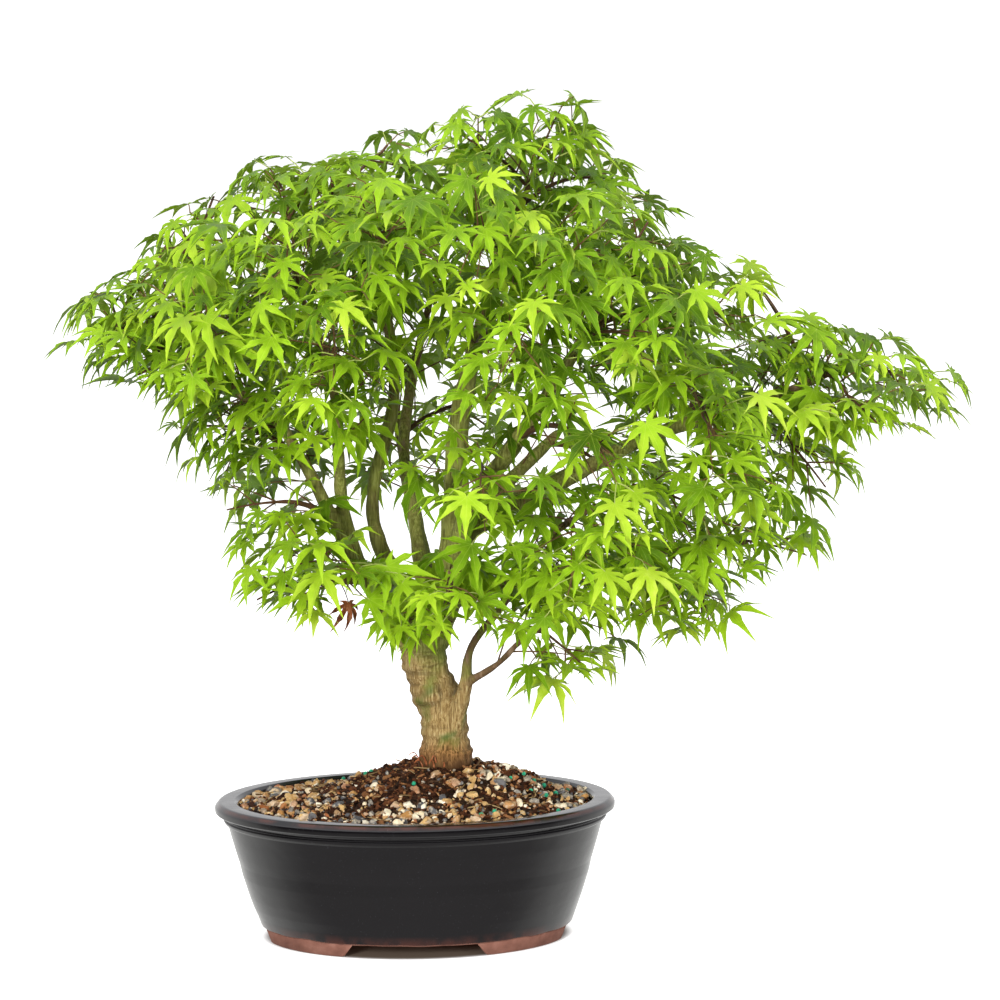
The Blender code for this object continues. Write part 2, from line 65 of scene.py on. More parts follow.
# Routes of the trunk and the limbs from the pot's middle, as measured points: x, y, z and radius.
TRUNK_MM = (
    (24, 0, 86, 21), (24, 0, 132, 20.5), (24, 0, 148, 18.6), (22, 0, 168, 17.6), (16, 0, 188, 17.5),
    (10, 0, 206, 17), (8, 0, 220, 16.5), (9, 0, 232, 14),
)
LIMBS_MM = {
    "left": (
        (6, 0, 216, 11), (-16, -5, 248, 9), (-36, -12, 280, 7), (-58, -20, 322, 5.2), (-78, -28, 365, 4.4),
        (-105, -30, 405, 4.2), (-160, -18, 437, 3.1), (-225, -15, 474, 1.8),
    ),
    "left_front": (
        (-40, -14, 288, 5.5), (-50, -22, 330, 5), (-52, -40, 370, 4.4), (-56, -70, 440, 3.2),
        (-80, -85, 505, 1.8),
    ),
    "middle": (
        (10, 5, 224, 11), (-8, 20, 262, 8), (-26, 25, 302, 5.8), (-28, 25, 341, 5), (-12, 25, 405, 4.8),
        (-14, 16, 460, 4.2), (-34, 5, 512, 3), (-58, 0, 556, 1.8),
    ),
    "middle_back": (
        (12, 12, 232, 9), (8, 45, 267, 6.6), (2, 64, 310, 5.2), (-6, 90, 364, 4.6), (4, 122, 430, 3.8),
        (28, 145, 520, 1.8),
    ),
    "leader": (
        (14, 0, 224, 13), (28, -2, 268, 12), (34, 2, 316, 10), (35, 4, 364, 8.4), (43, 5, 417, 7.2),
        (58, 0, 470, 6), (76, -5, 528, 4.4), (94, -2, 572, 1.8),
    ),
    "right_front": (
        (32, -2, 290, 8), (50, -36, 338, 7), (78, -56, 378, 6.2), (108, -72, 424, 5), (140, -76, 474, 3.6),
        (170, -66, 522, 1.8),
    ),
    "right": (
        (34, 4, 300, 8), (68, 30, 321, 7.4), (116, 44, 342, 6.6), (188, 40, 377, 5.6), (268, 20, 402, 4.2),
        (334, 0, 432, 2.8), (380, -8, 443, 1.8),
    ),
    "sucker": (
        (26, -6, 142, 8.5), (34, -15, 174, 7.2), (40, -19, 194, 5.0), (45, -23, 224, 3.1),
        (70, -39, 259, 3.0), (105, -61, 312, 2.8), (172, -92, 354, 1.8),
    ),
    "sucker_side": ((41, -19, 196, 3.4), (64, -41, 213, 2.5), (84, -62, 235, 2.2), (108, -84, 251, 1.8)),
    "back": (
        (14, 20, 236, 8), (12, 55, 262, 7.2), (6, 92, 284, 6.4), (-2, 130, 325, 5.2), (-12, 160, 375, 3.6),
        (-20, 175, 430, 1.8),
    ),
    "right_back": (
        (34, 8, 282, 7), (56, 72, 318, 5.8), (98, 120, 355, 4.6), (140, 146, 392, 3.2), (178, 152, 420, 1.8),
    ),
    "low_right": (
        (30, 0, 256, 6), (84, 12, 269, 5), (146, 15, 283, 3.9), (204, 10, 292, 2.8), (255, 0, 297, 1.8),
    ),
    "low_front": ((18, -8, 240, 5), (27, -60, 262, 3.8), (31, -115, 288, 2.4), (28, -135, 300, 1.8)),
    "low_left": ((-32, -10, 274, 4), (-58, -42, 278, 3), (-85, -62, 278, 1.8)),
}

# Middles of the leafy shoots, partly measured, under the limb that each one's branch leaves.
SHOOTS_MM = {
    "left": (
        (-218, -15, 480), (-180, 30, 525), (-140, -10, 565), (-195, -60, 440), (-160, 40, 395),
        (-140, -110, 485), (-120, -50, 345), (-120, 105, 480),
    ),
    "left_front": ((-80, -140, 525), (-45, -155, 465), (-95, 40, 580)),
    "middle": ((-50, -40, 605), (0, 45, 612), (-10, -145, 540)),
    "middle_back": ((-40, 130, 535), (70, 145, 545)),
    "leader": (
        (45, -30, 610), (108, -5, 612), (160, 45, 580), (55, -130, 545), (120, -110, 525), (85, -160, 470),
    ),
    "right_front": ((180, -45, 550), (165, -140, 475), (225, -65, 480), (140, -155, 395), (55, -165, 375)),
    "right": (
        (250, 15, 515), (318, 20, 450), (356, 0, 432), (335, -60, 405), (300, -25, 355), (215, -120, 405),
        (165, 130, 500), (225, 115, 420),
    ),
    "sucker": ((125, -150, 325), (215, -80, 340)),
    "sucker_side": ((125, -65, 232),),
    "back": ((-25, 170, 430), (75, 175, 400)),
    "right_back": ((165, 140, 340),),
    "low_right": ((270, 10, 300), (215, -40, 262)),
    "low_front": ((35, -140, 275), (-5, -70, 240)),
    "low_left": ((-95, -70, 280), (-50, -115, 312)),
}

# The place that the tree is drawn from: in front of the pot's middle, above the table, and to the right.
VIEW_DISTANCE = 3.2
VIEW_HEIGHT = 0.698
VIEW_ASIDE = 0.068

STONE_TINTS = (0.1, 0.25, 0.5, 0.35, 0.65)  # taken in turn by the loose stones
TWIG_LENGTH = 42 * MM
TWIG_RADIUS = 1.1 * MM
CROWN_MIDDLE_MM = (70, 0, 380)

# The crown's outline seen from the front, as measured points of (x, z): its top, and its underside.
CROWN_TOP_MM = (
    (-284, 482), (-268, 496), (-238, 506), (-208, 520), (-192, 546), (-176, 562), (-146, 572), (-130, 594),
    (-88, 600), (-72, 588), (-40, 600), (-25, 620), (5, 618), (35, 632), (80, 632), (92, 648), (110, 660),
    (140, 640), (155, 624), (170, 598), (184, 563), (214, 556), (228, 525), (273, 523), (288, 470),
    (346, 468), (364, 460), (393, 452), (410, 442), (434, 428),
)
CROWN_UNDERSIDE_MM = (
    (-284, 452), (-268, 442), (-254, 432), (-224, 427), (-210, 409), (-195, 392), (-181, 346), (-152, 318),
    (-140, 250), (-92, 250), (-76, 228), (-60, 226), (-47, 244), (-32, 214), (-18, 176), (-2, 168), (4, 222),
    (52, 226), (59, 204), (74, 188), (90, 178), (164, 186), (180, 204), (195, 214), (226, 212), (241, 228),
    (256, 243), (272, 274), (317, 271), (330, 322), (348, 340), (363, 374), (393, 366),
    (412, 384), (434, 400),
)

# Where the limbs show between the leaves, seen from the front: each oval's middle, its half-sizes, and the
# share of the leaves that it keeps.
GAPS_MM = (
    (45, 382, 120, 96, 0.40), (46, 207, 40, 25, 0.0), (-50, 248, 22, 24, 0.0), (215, 385, 90, 70, 0.80),
    (75, 480, 90, 50, 0.75),
)

# The joint of the one withered leaf.
WITHERED_MM = (-46, -48, 262)

# Strokes of green algae on the trunk.
ALGAE_MM = (
    ((2, -16, 180), (10, -18, 188), (22, -18, 193)), ((20, -19, 153), (32, -18, 157)),
    ((40, -18, 176), (39, -18, 158), (40, -16, 142)), ((28, -18, 200), (34, -14, 206)),
)


@dataclass(frozen=True)
class Site:
    """Where things are, read from the frame.

    Attributes:
        middle: The middle of the pot on the surface that it stands on.
        rim: Half of the rim's length.
        oval: The rim's width as a share of its length.
        height: The pot's height.
    """

    middle: Vector
    rim: float
    oval: float
    height: float

    @classmethod
    def from_frame(cls) -> "Site":
        """Measure the pot's node.

        Returns:
            The site.
        """
        low, high = (Vector(corner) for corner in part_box("pot"))
        size = high - low
        middle = Vector(((low.x + high.x) / 2, (low.y + high.y) / 2, low.z))
        return cls(middle, size.x / 2, size.y / size.x, size.z)

    def place(self, x: float, y: float, z: float) -> Vector:
        """Turn a place in the plan's millimetres into the frame's metres.

        Args:
            x: Distance to the right of the pot's middle.
            y: Distance behind it.
            z: Height above the table.

        Returns:
            The place in the frame.
        """
        return self.middle + Vector((x, y, z)) * MM


SITE = Site.from_frame()


# Node trees -----------------------------------------------------------------------------------------


class Tree:
    """A node tree that is being built with short calls."""

    def __init__(self, tree: bpy.types.NodeTree) -> None:
        """Start on a tree.

        Args:
            tree: The tree to add nodes to.
        """
        self.tree = tree

    def node(self, kind: str, inputs: dict | None = None, **settings) -> bpy.types.Node:
        """Add a node, set its properties, and set or link its inputs.

        Args:
            kind: The node's type.
            inputs: A value or an output socket for each input, by name or by index.
            settings: Properties of the node.

        Returns:
            The new node.
        """
        node = self.tree.nodes.new(kind)
        for key, value in settings.items():
            setattr(node, key, value)
        for key, value in (inputs or {}).items():
            socket = node.inputs[key]
            if isinstance(value, bpy.types.NodeSocket):
                self.tree.links.new(value, socket)
            else:
                socket.default_value = value
        return node

    def math(self, operation: str, first, second=0.0, third=0.0) -> bpy.types.NodeSocket:
        """Add a Math node.

        Args:
            operation: The operation's name.
            first: The first value or socket.
            second: The second value or socket.
            third: The third value or socket.

        Returns:
            The result's socket.
        """
        return self.node(self._math_kind(), {0: first, 1: second, 2: third}, operation=operation).outputs[0]

    def _math_kind(self) -> str:
        """Return the type of Math node, which shader and geometry trees share."""
        return "ShaderNodeMath"

    def ramp(self, factor, stops: Sequence[tuple[float, Colour]]) -> bpy.types.NodeSocket:
        """Add a Color Ramp node.

        Args:
            factor: The socket to look up.
            stops: Each stop's position and colour.

        Returns:
            The colour's socket.
        """
        node = self.node("ShaderNodeValToRGB", {"Fac": factor})
        elements = node.color_ramp.elements
        while len(elements) < len(stops):
            elements.new(0.5)
        for element, (position, colour) in zip(elements, stops):
            element.position = position
            element.color = (*colour, 1.0)
        return node.outputs["Color"]

    def span(self, value, low: float, high: float, to_low: float = 0.0, to_high: float = 1.0,
             smooth: bool = True) -> bpy.types.NodeSocket:
        """Map one range of values to another, clamped.

        Args:
            value: The socket to map.
            low: The range's start.
            high: The range's end.
            to_low: The result at the start.
            to_high: The result at the end.
            smooth: Whether to ease in and out.

        Returns:
            The result's socket.
        """
        kind = "SMOOTHSTEP" if smooth else "LINEAR"
        values = {"Value": value, "From Min": low, "From Max": high, "To Min": to_low, "To Max": to_high}
        return self.node("ShaderNodeMapRange", values, interpolation_type=kind).outputs["Result"]

    def mix(self, factor, first, second, blend: str = "MIX") -> bpy.types.NodeSocket:
        """Mix two colours.

        Args:
            factor: The share of the second colour.
            first: The first colour or socket.
            second: The second colour or socket.
            blend: The blend type.

        Returns:
            The colour's socket.
        """
        values = {0: factor, 6: _rgba(first), 7: _rgba(second)}
        return self.node("ShaderNodeMix", values, data_type="RGBA", blend_type=blend).outputs[2]

    def noise(self, vector, scale: float, detail: float = 3.0,
              roughness: float = 0.5) -> bpy.types.NodeSocket:
        """Add a Noise Texture node.

        Args:
            vector: The coordinates' socket.
            scale: The texture's scale.
            detail: The number of octaves.
            roughness: The weight of the finer octaves.

        Returns:
            The value's socket.
        """
        values = {"Vector": vector, "Scale": scale, "Detail": detail, "Roughness": roughness}
        return self.node("ShaderNodeTexNoise", values).outputs[0]


def _rgba(colour):
    """Add alpha to a plain colour, and leave a socket as it is."""
    return colour if isinstance(colour, bpy.types.NodeSocket) else (*colour, 1.0)


class Surface:
    """A material being built around one Principled shader."""

    def __init__(self, name: str, **constants) -> None:
        """Make the material.

        Args:
            name: The material's name.
            constants: Values of the shader's inputs, with _ for a space in each name.
        """
        self.material = bpy.data.materials.new(name)
        self.material.use_nodes = True
        self.tree = Tree(self.material.node_tree)
        self.shader = self.material.node_tree.nodes["Principled BSDF"]
        self.output = self.material.node_tree.nodes["Material Output"]
        for key, value in constants.items():
            self.shader.inputs[key.replace("_", " ")].default_value = value

    def coordinates(self, scale: Sequence[float] = (1.0, 1.0, 1.0)) -> bpy.types.NodeSocket:
        """Return object coordinates, stretched.

        Args:
            scale: The factor along each axis.

        Returns:
            The vector's socket.
        """
        place = self.tree.node("ShaderNodeTexCoord").outputs["Object"]
        return self.tree.node("ShaderNodeMapping", {"Vector": place, "Scale": scale}).outputs[0]

    def attribute(self, name: str) -> bpy.types.NodeSocket:
        """Return a value stored on the mesh.

        Args:
            name: The attribute's name.

        Returns:
            The value's socket.
        """
        return self.tree.node("ShaderNodeAttribute", attribute_name=name).outputs["Fac"]

    def feed(self, **sockets) -> None:
        """Link sockets to the shader's inputs.

        Args:
            sockets: A socket for each input, with _ for a space in each name.
        """
        for key, socket in sockets.items():
            self.tree.tree.links.new(socket, self.shader.inputs[key.replace("_", " ")])

    def bump(self, height, distance: float, strength: float = 1.0, normal=None) -> bpy.types.NodeSocket:
        """Add a Bump node.

        Args:
            height: The height's socket.
            distance: The height in metres that a value of 1 stands for.
            strength: The effect's strength.
            normal: Another bump's socket to build on.

        Returns:
            The normal's socket.
        """
        values = {"Height": height, "Distance": distance, "Strength": strength}
        if normal is not None:
            values["Normal"] = normal
        return self.tree.node("ShaderNodeBump", values).outputs["Normal"]


# Shared effects -------------------------------------------------------------------------------------


class Effect:
    """A shader node group with named inputs and outputs, placed in each material with its own values."""

    def __init__(self, name: str, inputs: Sequence[str], outputs: Sequence[str]) -> None:
        """Make the group's interface, where Vector is a vector and everything else is a value.

        Args:
            name: The group's name.
            inputs: The names of its inputs.
            outputs: The names of its outputs.
        """
        self.group = bpy.data.node_groups.new(name, "ShaderNodeTree")
        for way, keys in (("INPUT", inputs), ("OUTPUT", outputs)):
            for key in keys:
                kind = "NodeSocketVector" if key == "Vector" else "NodeSocketFloat"
                self.group.interface.new_socket(name=key, in_out=way, socket_type=kind)
        self.tree = Tree(self.group)
        self.entry = self.tree.node("NodeGroupInput")

    def input(self, name: str) -> bpy.types.NodeSocket:
        """Return an input's socket inside the group."""
        return self.entry.outputs[name]

    def close(self, **outputs) -> None:
        """Put the group's results out, by name."""
        self.tree.node("NodeGroupOutput", outputs)

    def place(self, surface: Surface, **inputs) -> bpy.types.Node:
        """Place the group in a material.

        Args:
            surface: The material.
            inputs: A value or a socket for each input, by name.

        Returns:
            The group's node, whose outputs go by their names.
        """
        return surface.tree.node("ShaderNodeGroup", inputs, node_tree=self.group)


def make_speckle() -> Effect:
    """Make the effect of fine specks: glaze pits, clay grit, the veins of stones, dust.

    Returns:
        The effect, whose Mask is 0 up to the Threshold and 1 a Softness above it.
    """
    effect = Effect("speckle", ("Vector", "Scale", "Detail", "Threshold", "Softness"), ("Mask",))
    tree = effect.tree
    specks = tree.noise(effect.input("Vector"), effect.input("Scale"), effect.input("Detail"), 0.6)
    top = tree.math("ADD", effect.input("Threshold"), effect.input("Softness"))
    effect.close(Mask=tree.span(specks, effect.input("Threshold"), top))
    return effect


def make_mottle() -> Effect:
    """Make the effect of living skin: a tint made uneven by clouds, for leaves, stalks and bark.

    Returns:
        The effect, whose Level is the Tint pushed up and down by Amount, and whose Height is the clouds.
    """
    effect = Effect("mottle", ("Vector", "Scale", "Detail", "Tint", "Amount"), ("Level", "Height"))
    tree = effect.tree
    clouds = tree.noise(effect.input("Vector"), effect.input("Scale"), effect.input("Detail"), 0.56)
    push = tree.math("MULTIPLY", tree.math("SUBTRACT", clouds, 0.5), effect.input("Amount"))
    effect.close(Level=tree.math("ADD", effect.input("Tint"), push), Height=clouds)
    return effect


def make_grain() -> Effect:
    """Make the effect of a dull, fine-grained surface: clay, compost, grit, chips and dry leaves.

    Returns:
        The effect, whose Height is the grain, and whose Roughness runs from Sleek to Rough with it.
    """
    effect = Effect("fine_grain", ("Vector", "Scale", "Detail", "Sleek", "Rough"), ("Height", "Roughness"))
    tree = effect.tree
    grain = tree.noise(effect.input("Vector"), effect.input("Scale"), effect.input("Detail"), 0.6)
    roughness = tree.span(grain, 0.3, 0.7, effect.input("Sleek"), effect.input("Rough"))
    effect.close(Height=grain, Roughness=roughness)
    return effect


@dataclass(frozen=True)
class Effects:
    """The effects that several materials share."""

    speckle: Effect = field(default_factory=make_speckle)
    mottle: Effect = field(default_factory=make_mottle)
    grain: Effect = field(default_factory=make_grain)


# Finishes -------------------------------------------------------------------------------------------


@dataclass(frozen=True)
class GlazeFinish:
    """The pot's blue-black glaze, thinner and browner where it breaks over an edge."""

    deep: Colour = (0.0034, 0.0027, 0.0036)
    cloud: Colour = (0.0075, 0.0066, 0.0072)
    worn: Colour = (0.085, 0.024, 0.015)
    speck: Colour = (0.16, 0.17, 0.20)

    def material(self, effects: Effects) -> bpy.types.Material:
        """Make the material.

        Args:
            effects: The shared effects.

        Returns:
            The material.
        """
        surface = Surface("blue_black_glaze", IOR=1.5, Coat_Weight=0.4, Coat_Roughness=0.04)
        tree = surface.tree
        place = surface.coordinates()
        specks = effects.speckle.place(
            surface, Vector=place, Scale=900.0, Detail=2.0, Threshold=0.66, Softness=0.08)
        pits = effects.speckle.place(
            surface, Vector=place, Scale=330.0, Detail=1.0, Threshold=0.72, Softness=0.08)
        thin = tree.math("MULTIPLY", surface.attribute("edge"), tree.span(tree.noise(place, 60.0), 0.3, 0.6))
        colour = tree.mix(tree.noise(place, 22.0, 4.0, 0.6), self.deep, self.cloud)
        colour = tree.mix(thin, colour, self.worn)
        surface.feed(
            Base_Color=tree.mix(tree.math("MULTIPLY", specks.outputs["Mask"], 0.12), colour, self.speck),
            Roughness=tree.span(tree.noise(place, 45.0, 5.0, 0.65), 0.25, 0.75, 0.10, 0.22),
        )
        ripple = surface.bump(tree.noise(surface.coordinates((1.0, 1.0, 1.8)), 30.0, 2.0), 0.0006)
        surface.feed(Normal=surface.bump(pits.outputs["Mask"], -0.0002, 0.4, ripple))
        return surface.material


@dataclass(frozen=True)
class ClayFinish:
    """The bare red clay of the feet and the underside."""

    deep: Colour = (0.155, 0.066, 0.048)
    usual: Colour = (0.248, 0.111, 0.080)
    pale: Colour = (0.345, 0.170, 0.127)
    grit: Colour = (0.200, 0.085, 0.060)

    def material(self, effects: Effects) -> bpy.types.Material:
        """Make the material.

        Args:
            effects: The shared effects.

        Returns:
            The material.
        """
        surface = Surface("bare_red_clay", Specular_IOR_Level=0.3)
        tree = surface.tree
        place = surface.coordinates()
        colour = tree.ramp(tree.noise(place, 70.0, 5.0, 0.6), [
            (0.25, self.deep), (0.55, self.usual), (0.8, self.pale)])
        grit = effects.speckle.place(
            surface, Vector=place, Scale=900.0, Detail=2.0, Threshold=0.60, Softness=0.15)
        grain = effects.grain.place(surface, Vector=place, Scale=600.0, Detail=4.0, Sleek=0.7, Rough=0.9)
        surface.feed(
            Base_Color=tree.mix(tree.math("MULTIPLY", grit.outputs["Mask"], 0.35), colour, self.grit),
            Roughness=grain.outputs["Roughness"],
            Normal=surface.bump(grain.outputs["Height"], 0.0004, 0.6),
        )
        return surface.material


@dataclass(frozen=True)
class LeafFinish:
    """The leaf blade: tinted leaf by leaf, veined, paler underneath and lit from behind.

    Attributes:
        greens: The colours from the deepest leaf to the palest.
        vein: The colour of the veins and of the thin edges.
        under: The colour that the lower side leans to.
        glow: The colour that light takes on its way through.
        through: The share of the light that goes through.
    """

    greens: tuple[tuple[float, Colour], ...] = (
        (0.05, (0.030, 0.080, 0.002)), (0.30, (0.115, 0.247, 0.004)), (0.55, (0.292, 0.508, 0.012)),
        (0.80, (0.450, 0.635, 0.036)), (1.0, (0.620, 0.730, 0.150)),
    )
    vein: Colour = (0.62, 0.76, 0.12)
    under: Colour = (0.28, 0.42, 0.12)
    glow: Colour = (0.40, 0.56, 0.01)
    through: float = 0.24

    def material(self, effects: Effects) -> bpy.types.Material:
        """Make the material.

        Args:
            effects: The shared effects.

        Returns:
            The material.
        """
        surface = Surface("maple_leaf", IOR=1.42, Specular_IOR_Level=0.48)
        tree = surface.tree
        uv = tree.node("ShaderNodeSeparateXYZ", {0: tree.node("ShaderNodeUVMap", uv_map="UVMap").outputs[0]})
        across = tree.math("ABSOLUTE", tree.math("SUBTRACT", uv.outputs[0], 0.5))
        along = uv.outputs[1]
        mottle = effects.mottle.place(
            surface, Vector=surface.coordinates(), Scale=90.0, Detail=3.0,
            Tint=surface.attribute("tint"), Amount=0.45)
        clouds = mottle.outputs["Height"]
        level = tree.math("ADD", mottle.outputs["Level"], tree.math("MULTIPLY", along, 0.14))
        slant = tree.math("ADD", along, tree.math("MULTIPLY", across, -0.55))
        side_veins = tree.span(tree.math("SINE", tree.math("MULTIPLY", slant, 70.0)), 0.75, 1.0, 0.0, 0.22)
        veins = tree.math("MAXIMUM", tree.span(across, 0.045, 0.010, 0.0, 0.6), side_veins)
        edge = tree.span(across, 0.40, 0.5, 0.0, 0.6)
        pale = tree.math("MULTIPLY", tree.math("MAXIMUM", veins, edge), 0.45)
        colour = tree.mix(pale, tree.ramp(level, self.greens), self.vein)
        under = tree.node("ShaderNodeNewGeometry").outputs["Backfacing"]
        relief = surface.bump(tree.math("SUBTRACT", clouds, veins), 0.0004, 0.5)
        surface.feed(
            Base_Color=tree.mix(tree.math("MULTIPLY", under, 0.45), colour, self.under),
            Normal=relief,
            Roughness=tree.span(clouds, 0.2, 0.8, 0.36, 0.50),
        )
        glow = tree.node("ShaderNodeBsdfTranslucent", {
            "Color": tree.mix(0.4, colour, self.glow), "Normal": relief})
        blend = tree.node("ShaderNodeMixShader", {
            0: self.through, 1: surface.shader.outputs[0], 2: glow.outputs[0]})
        tree.tree.links.new(blend.outputs[0], surface.output.inputs["Surface"])
        return surface.material


@dataclass(frozen=True)
class WitheredFinish:
    """The orange-brown of a withered leaf and of peeling bark."""

    deep: Colour = (0.16, 0.045, 0.02)
    usual: Colour = (0.42, 0.13, 0.05)
    pale: Colour = (0.62, 0.30, 0.16)

    def material(self, effects: Effects) -> bpy.types.Material:
        """Make the material.

        Args:
            effects: The shared effects.

        Returns:
            The material.
        """
        surface = Surface("withered_leaf", Specular_IOR_Level=0.25)
        grain = effects.grain.place(
            surface, Vector=surface.coordinates(), Scale=160.0, Detail=4.0, Sleek=0.7, Rough=0.9)
        height = grain.outputs["Height"]
        surface.feed(
            Base_Color=surface.tree.ramp(height, [(0.3, self.deep), (0.5, self.usual), (0.7, self.pale)]),
            Roughness=grain.outputs["Roughness"],
            Normal=surface.bump(height, 0.0006),
        )
        return surface.material


@dataclass(frozen=True)
class StalkFinish:
    """The skin of twigs and leaf stalks, from brown wood to reddish and pale green stalks."""

    skins: tuple[tuple[float, Colour], ...] = (
        (0.05, (0.060, 0.036, 0.018)), (0.35, (0.105, 0.050, 0.026)), (0.50, (0.200, 0.120, 0.045)),
        (0.70, (0.240, 0.270, 0.060)), (0.90, (0.400, 0.480, 0.120)),
    )

    def material(self, effects: Effects) -> bpy.types.Material:
        """Make the material.

        Args:
            effects: The shared effects.

        Returns:
            The material.
        """
        surface = Surface("stalk", Specular_IOR_Level=0.35)
        tree = surface.tree
        mottle = effects.mottle.place(
            surface, Vector=surface.coordinates(), Scale=120.0, Detail=3.0,
            Tint=surface.attribute("tint"), Amount=0.25)
        height = mottle.outputs["Height"]
        surface.feed(
            Base_Color=tree.ramp(mottle.outputs["Level"], self.skins),
            Roughness=tree.span(height, 0.3, 0.7, 0.48, 0.62),
            Normal=surface.bump(height, 0.0003, 0.6),
        )
        return surface.material


@dataclass(frozen=True)
class BarkFinish:
    """The bark: tan and streaked low down, olive green on the limbs, brown on thin wood.

    Attributes:
        tan: The low trunk's colours from its furrows to its ridges.
        olive: The limbs' colours, in the same order.
        brown: The thin wood's colours, in the same order.
        rust: The colours of the trunk's foot, in the same order.
        damp: The colour where the trunk meets the soil.
        moss: The colour of the green patches.
        algae: The colour of the strokes of algae.
        crack_painted_shade: The colour of the deepest cracks, their own dark with painted shade in them.
        scar: The colour of the rings round the wood.
    """

    tan: tuple[tuple[float, Colour], ...] = (
        (0.30, (0.105, 0.058, 0.022)), (0.43, (0.250, 0.155, 0.057)), (0.56, (0.405, 0.288, 0.120)),
        (0.70, (0.600, 0.480, 0.255)),
    )
    olive: tuple[tuple[float, Colour], ...] = (
        (0.30, (0.100, 0.098, 0.022)), (0.48, (0.230, 0.250, 0.052)), (0.70, (0.400, 0.420, 0.120)),
    )
    brown: tuple[tuple[float, Colour], ...] = (
        (0.30, (0.060, 0.034, 0.018)), (0.55, (0.190, 0.115, 0.060)), (0.72, (0.360, 0.250, 0.160)),
    )
    rust: tuple[tuple[float, Colour], ...] = ((0.38, (0.060, 0.022, 0.008)), (0.62, (0.420, 0.200, 0.070)))
    damp: Colour = (0.075, 0.036, 0.015)
    moss: Colour = (0.105, 0.150, 0.022)
    algae: Colour = (0.085, 0.140, 0.040)
    crack_painted_shade: Colour = (0.035, 0.022, 0.012)
    scar: Colour = (0.110, 0.075, 0.030)

    def material(self, effects: Effects) -> bpy.types.Material:
        """Make the material.

        Args:
            effects: The shared effects.

        Returns:
            The material.
        """
        surface = Surface("maple_bark", Specular_IOR_Level=0.3)
        tree = surface.tree
        height = surface.attribute("height")
        streaks = tree.noise(surface.coordinates((1.0, 1.0, 0.10)), 760.0, 5.0, 0.64)
        patchy = effects.mottle.place(
            surface, Vector=surface.coordinates(), Scale=28.0, Detail=4.0, Tint=height, Amount=1.1)
        plated = {
            name: effects.mottle.place(
                surface, Vector=surface.coordinates((1.0, 1.0, 0.3)), Scale=130.0, Detail=5.0,
                Tint=surface.attribute(name), Amount=amount)
            for name, amount in (("thin", 1.2), ("foot", 0.9))
        }
        patches, plates = patchy.outputs["Height"], plated["thin"].outputs["Height"]
        brown = tree.ramp(plates, self.brown)
        colour = tree.mix(tree.span(patchy.outputs["Level"], 0.35, 0.75), tree.ramp(streaks, self.tan),
                          tree.ramp(streaks, self.olive))
        scars = tree.noise(surface.coordinates((0.22, 0.22, 1.0)), 190.0, 4.0, 0.6)
        colour = tree.mix(tree.span(scars, 0.54, 0.68, 0.0, 0.55), colour, self.scar)
        high = tree.math("ADD", height, tree.math("MULTIPLY", patches, 0.5))
        colour = tree.mix(tree.span(high, 1.15, 1.45, 0.0, 0.50), colour, brown)
        colour = tree.mix(tree.span(plated["thin"].outputs["Level"], 0.45, 0.85), colour, brown)
        mossy = tree.math("MULTIPLY", tree.span(patches, 0.56, 0.70, 0.0, 0.7), tree.span(height, 0.85, 0.1))
        colour = tree.mix(mossy, colour, self.moss)
        foot = plated["foot"].outputs["Level"]
        colour = tree.mix(tree.span(foot, 0.10, 0.70, 0.0, 0.85), colour, tree.ramp(streaks, self.rust))
        algae = tree.math("MULTIPLY", surface.attribute("algae"), tree.span(plates, 0.36, 0.52, 0.0, 0.75))
        colour = tree.mix(algae, colour, self.algae)
        colour = tree.mix(tree.span(foot, 0.55, 1.15), colour, self.damp)
        coarse = surface.bump(plates, 0.0022, 0.7)
        # Where the coarse bump sinks lowest the bark goes near black: the cracks' own dark and painted shade.
        surface.feed(
            Base_Color=tree.mix(tree.span(plates, 0.42, 0.30, 0.0, 0.55), colour, self.crack_painted_shade),
            Roughness=tree.span(streaks, 0.3, 0.7, 0.88, 0.62),
            Normal=surface.bump(streaks, 0.0007, 0.7, coarse),
        )
        return surface.material


@dataclass(frozen=True)
class SoilFinish:
    """The damp bark compost under the grit."""

    crumbs: tuple[tuple[float, Colour], ...] = (
        (0.0, (0.010, 0.006, 0.004)), (0.45, (0.036, 0.017, 0.010)), (0.8, (0.080, 0.038, 0.020)),
        (1.0, (0.160, 0.090, 0.050)),
    )
    damp: Colour = (0.030, 0.016, 0.010)

    def material(self, effects: Effects) -> bpy.types.Material:
        """Make the material.

        Args:
            effects: The shared effects.

        Returns:
            The material.
        """
        surface = Surface("bark_compost", Specular_IOR_Level=0.25)
        tree = surface.tree
        place = surface.coordinates()
        crumbs = tree.node("ShaderNodeTexVoronoi", {"Vector": place, "Scale": 420.0})
        shade = tree.node("ShaderNodeSeparateColor", {0: crumbs.outputs["Color"]}).outputs[0]
        grain = effects.grain.place(surface, Vector=place, Scale=900.0, Detail=4.0, Sleek=0.75, Rough=0.95)
        fine = grain.outputs["Height"]
        lumps = surface.bump(crumbs.outputs["Distance"], -0.0025)
        surface.feed(
            Base_Color=tree.mix(
                tree.span(fine, 0.3, 0.7, 0.0, 0.5), tree.ramp(shade, self.crumbs), self.damp),
            Roughness=grain.outputs["Roughness"],
            Normal=surface.bump(fine, 0.0008, 0.8, lumps),
        )
        return surface.material


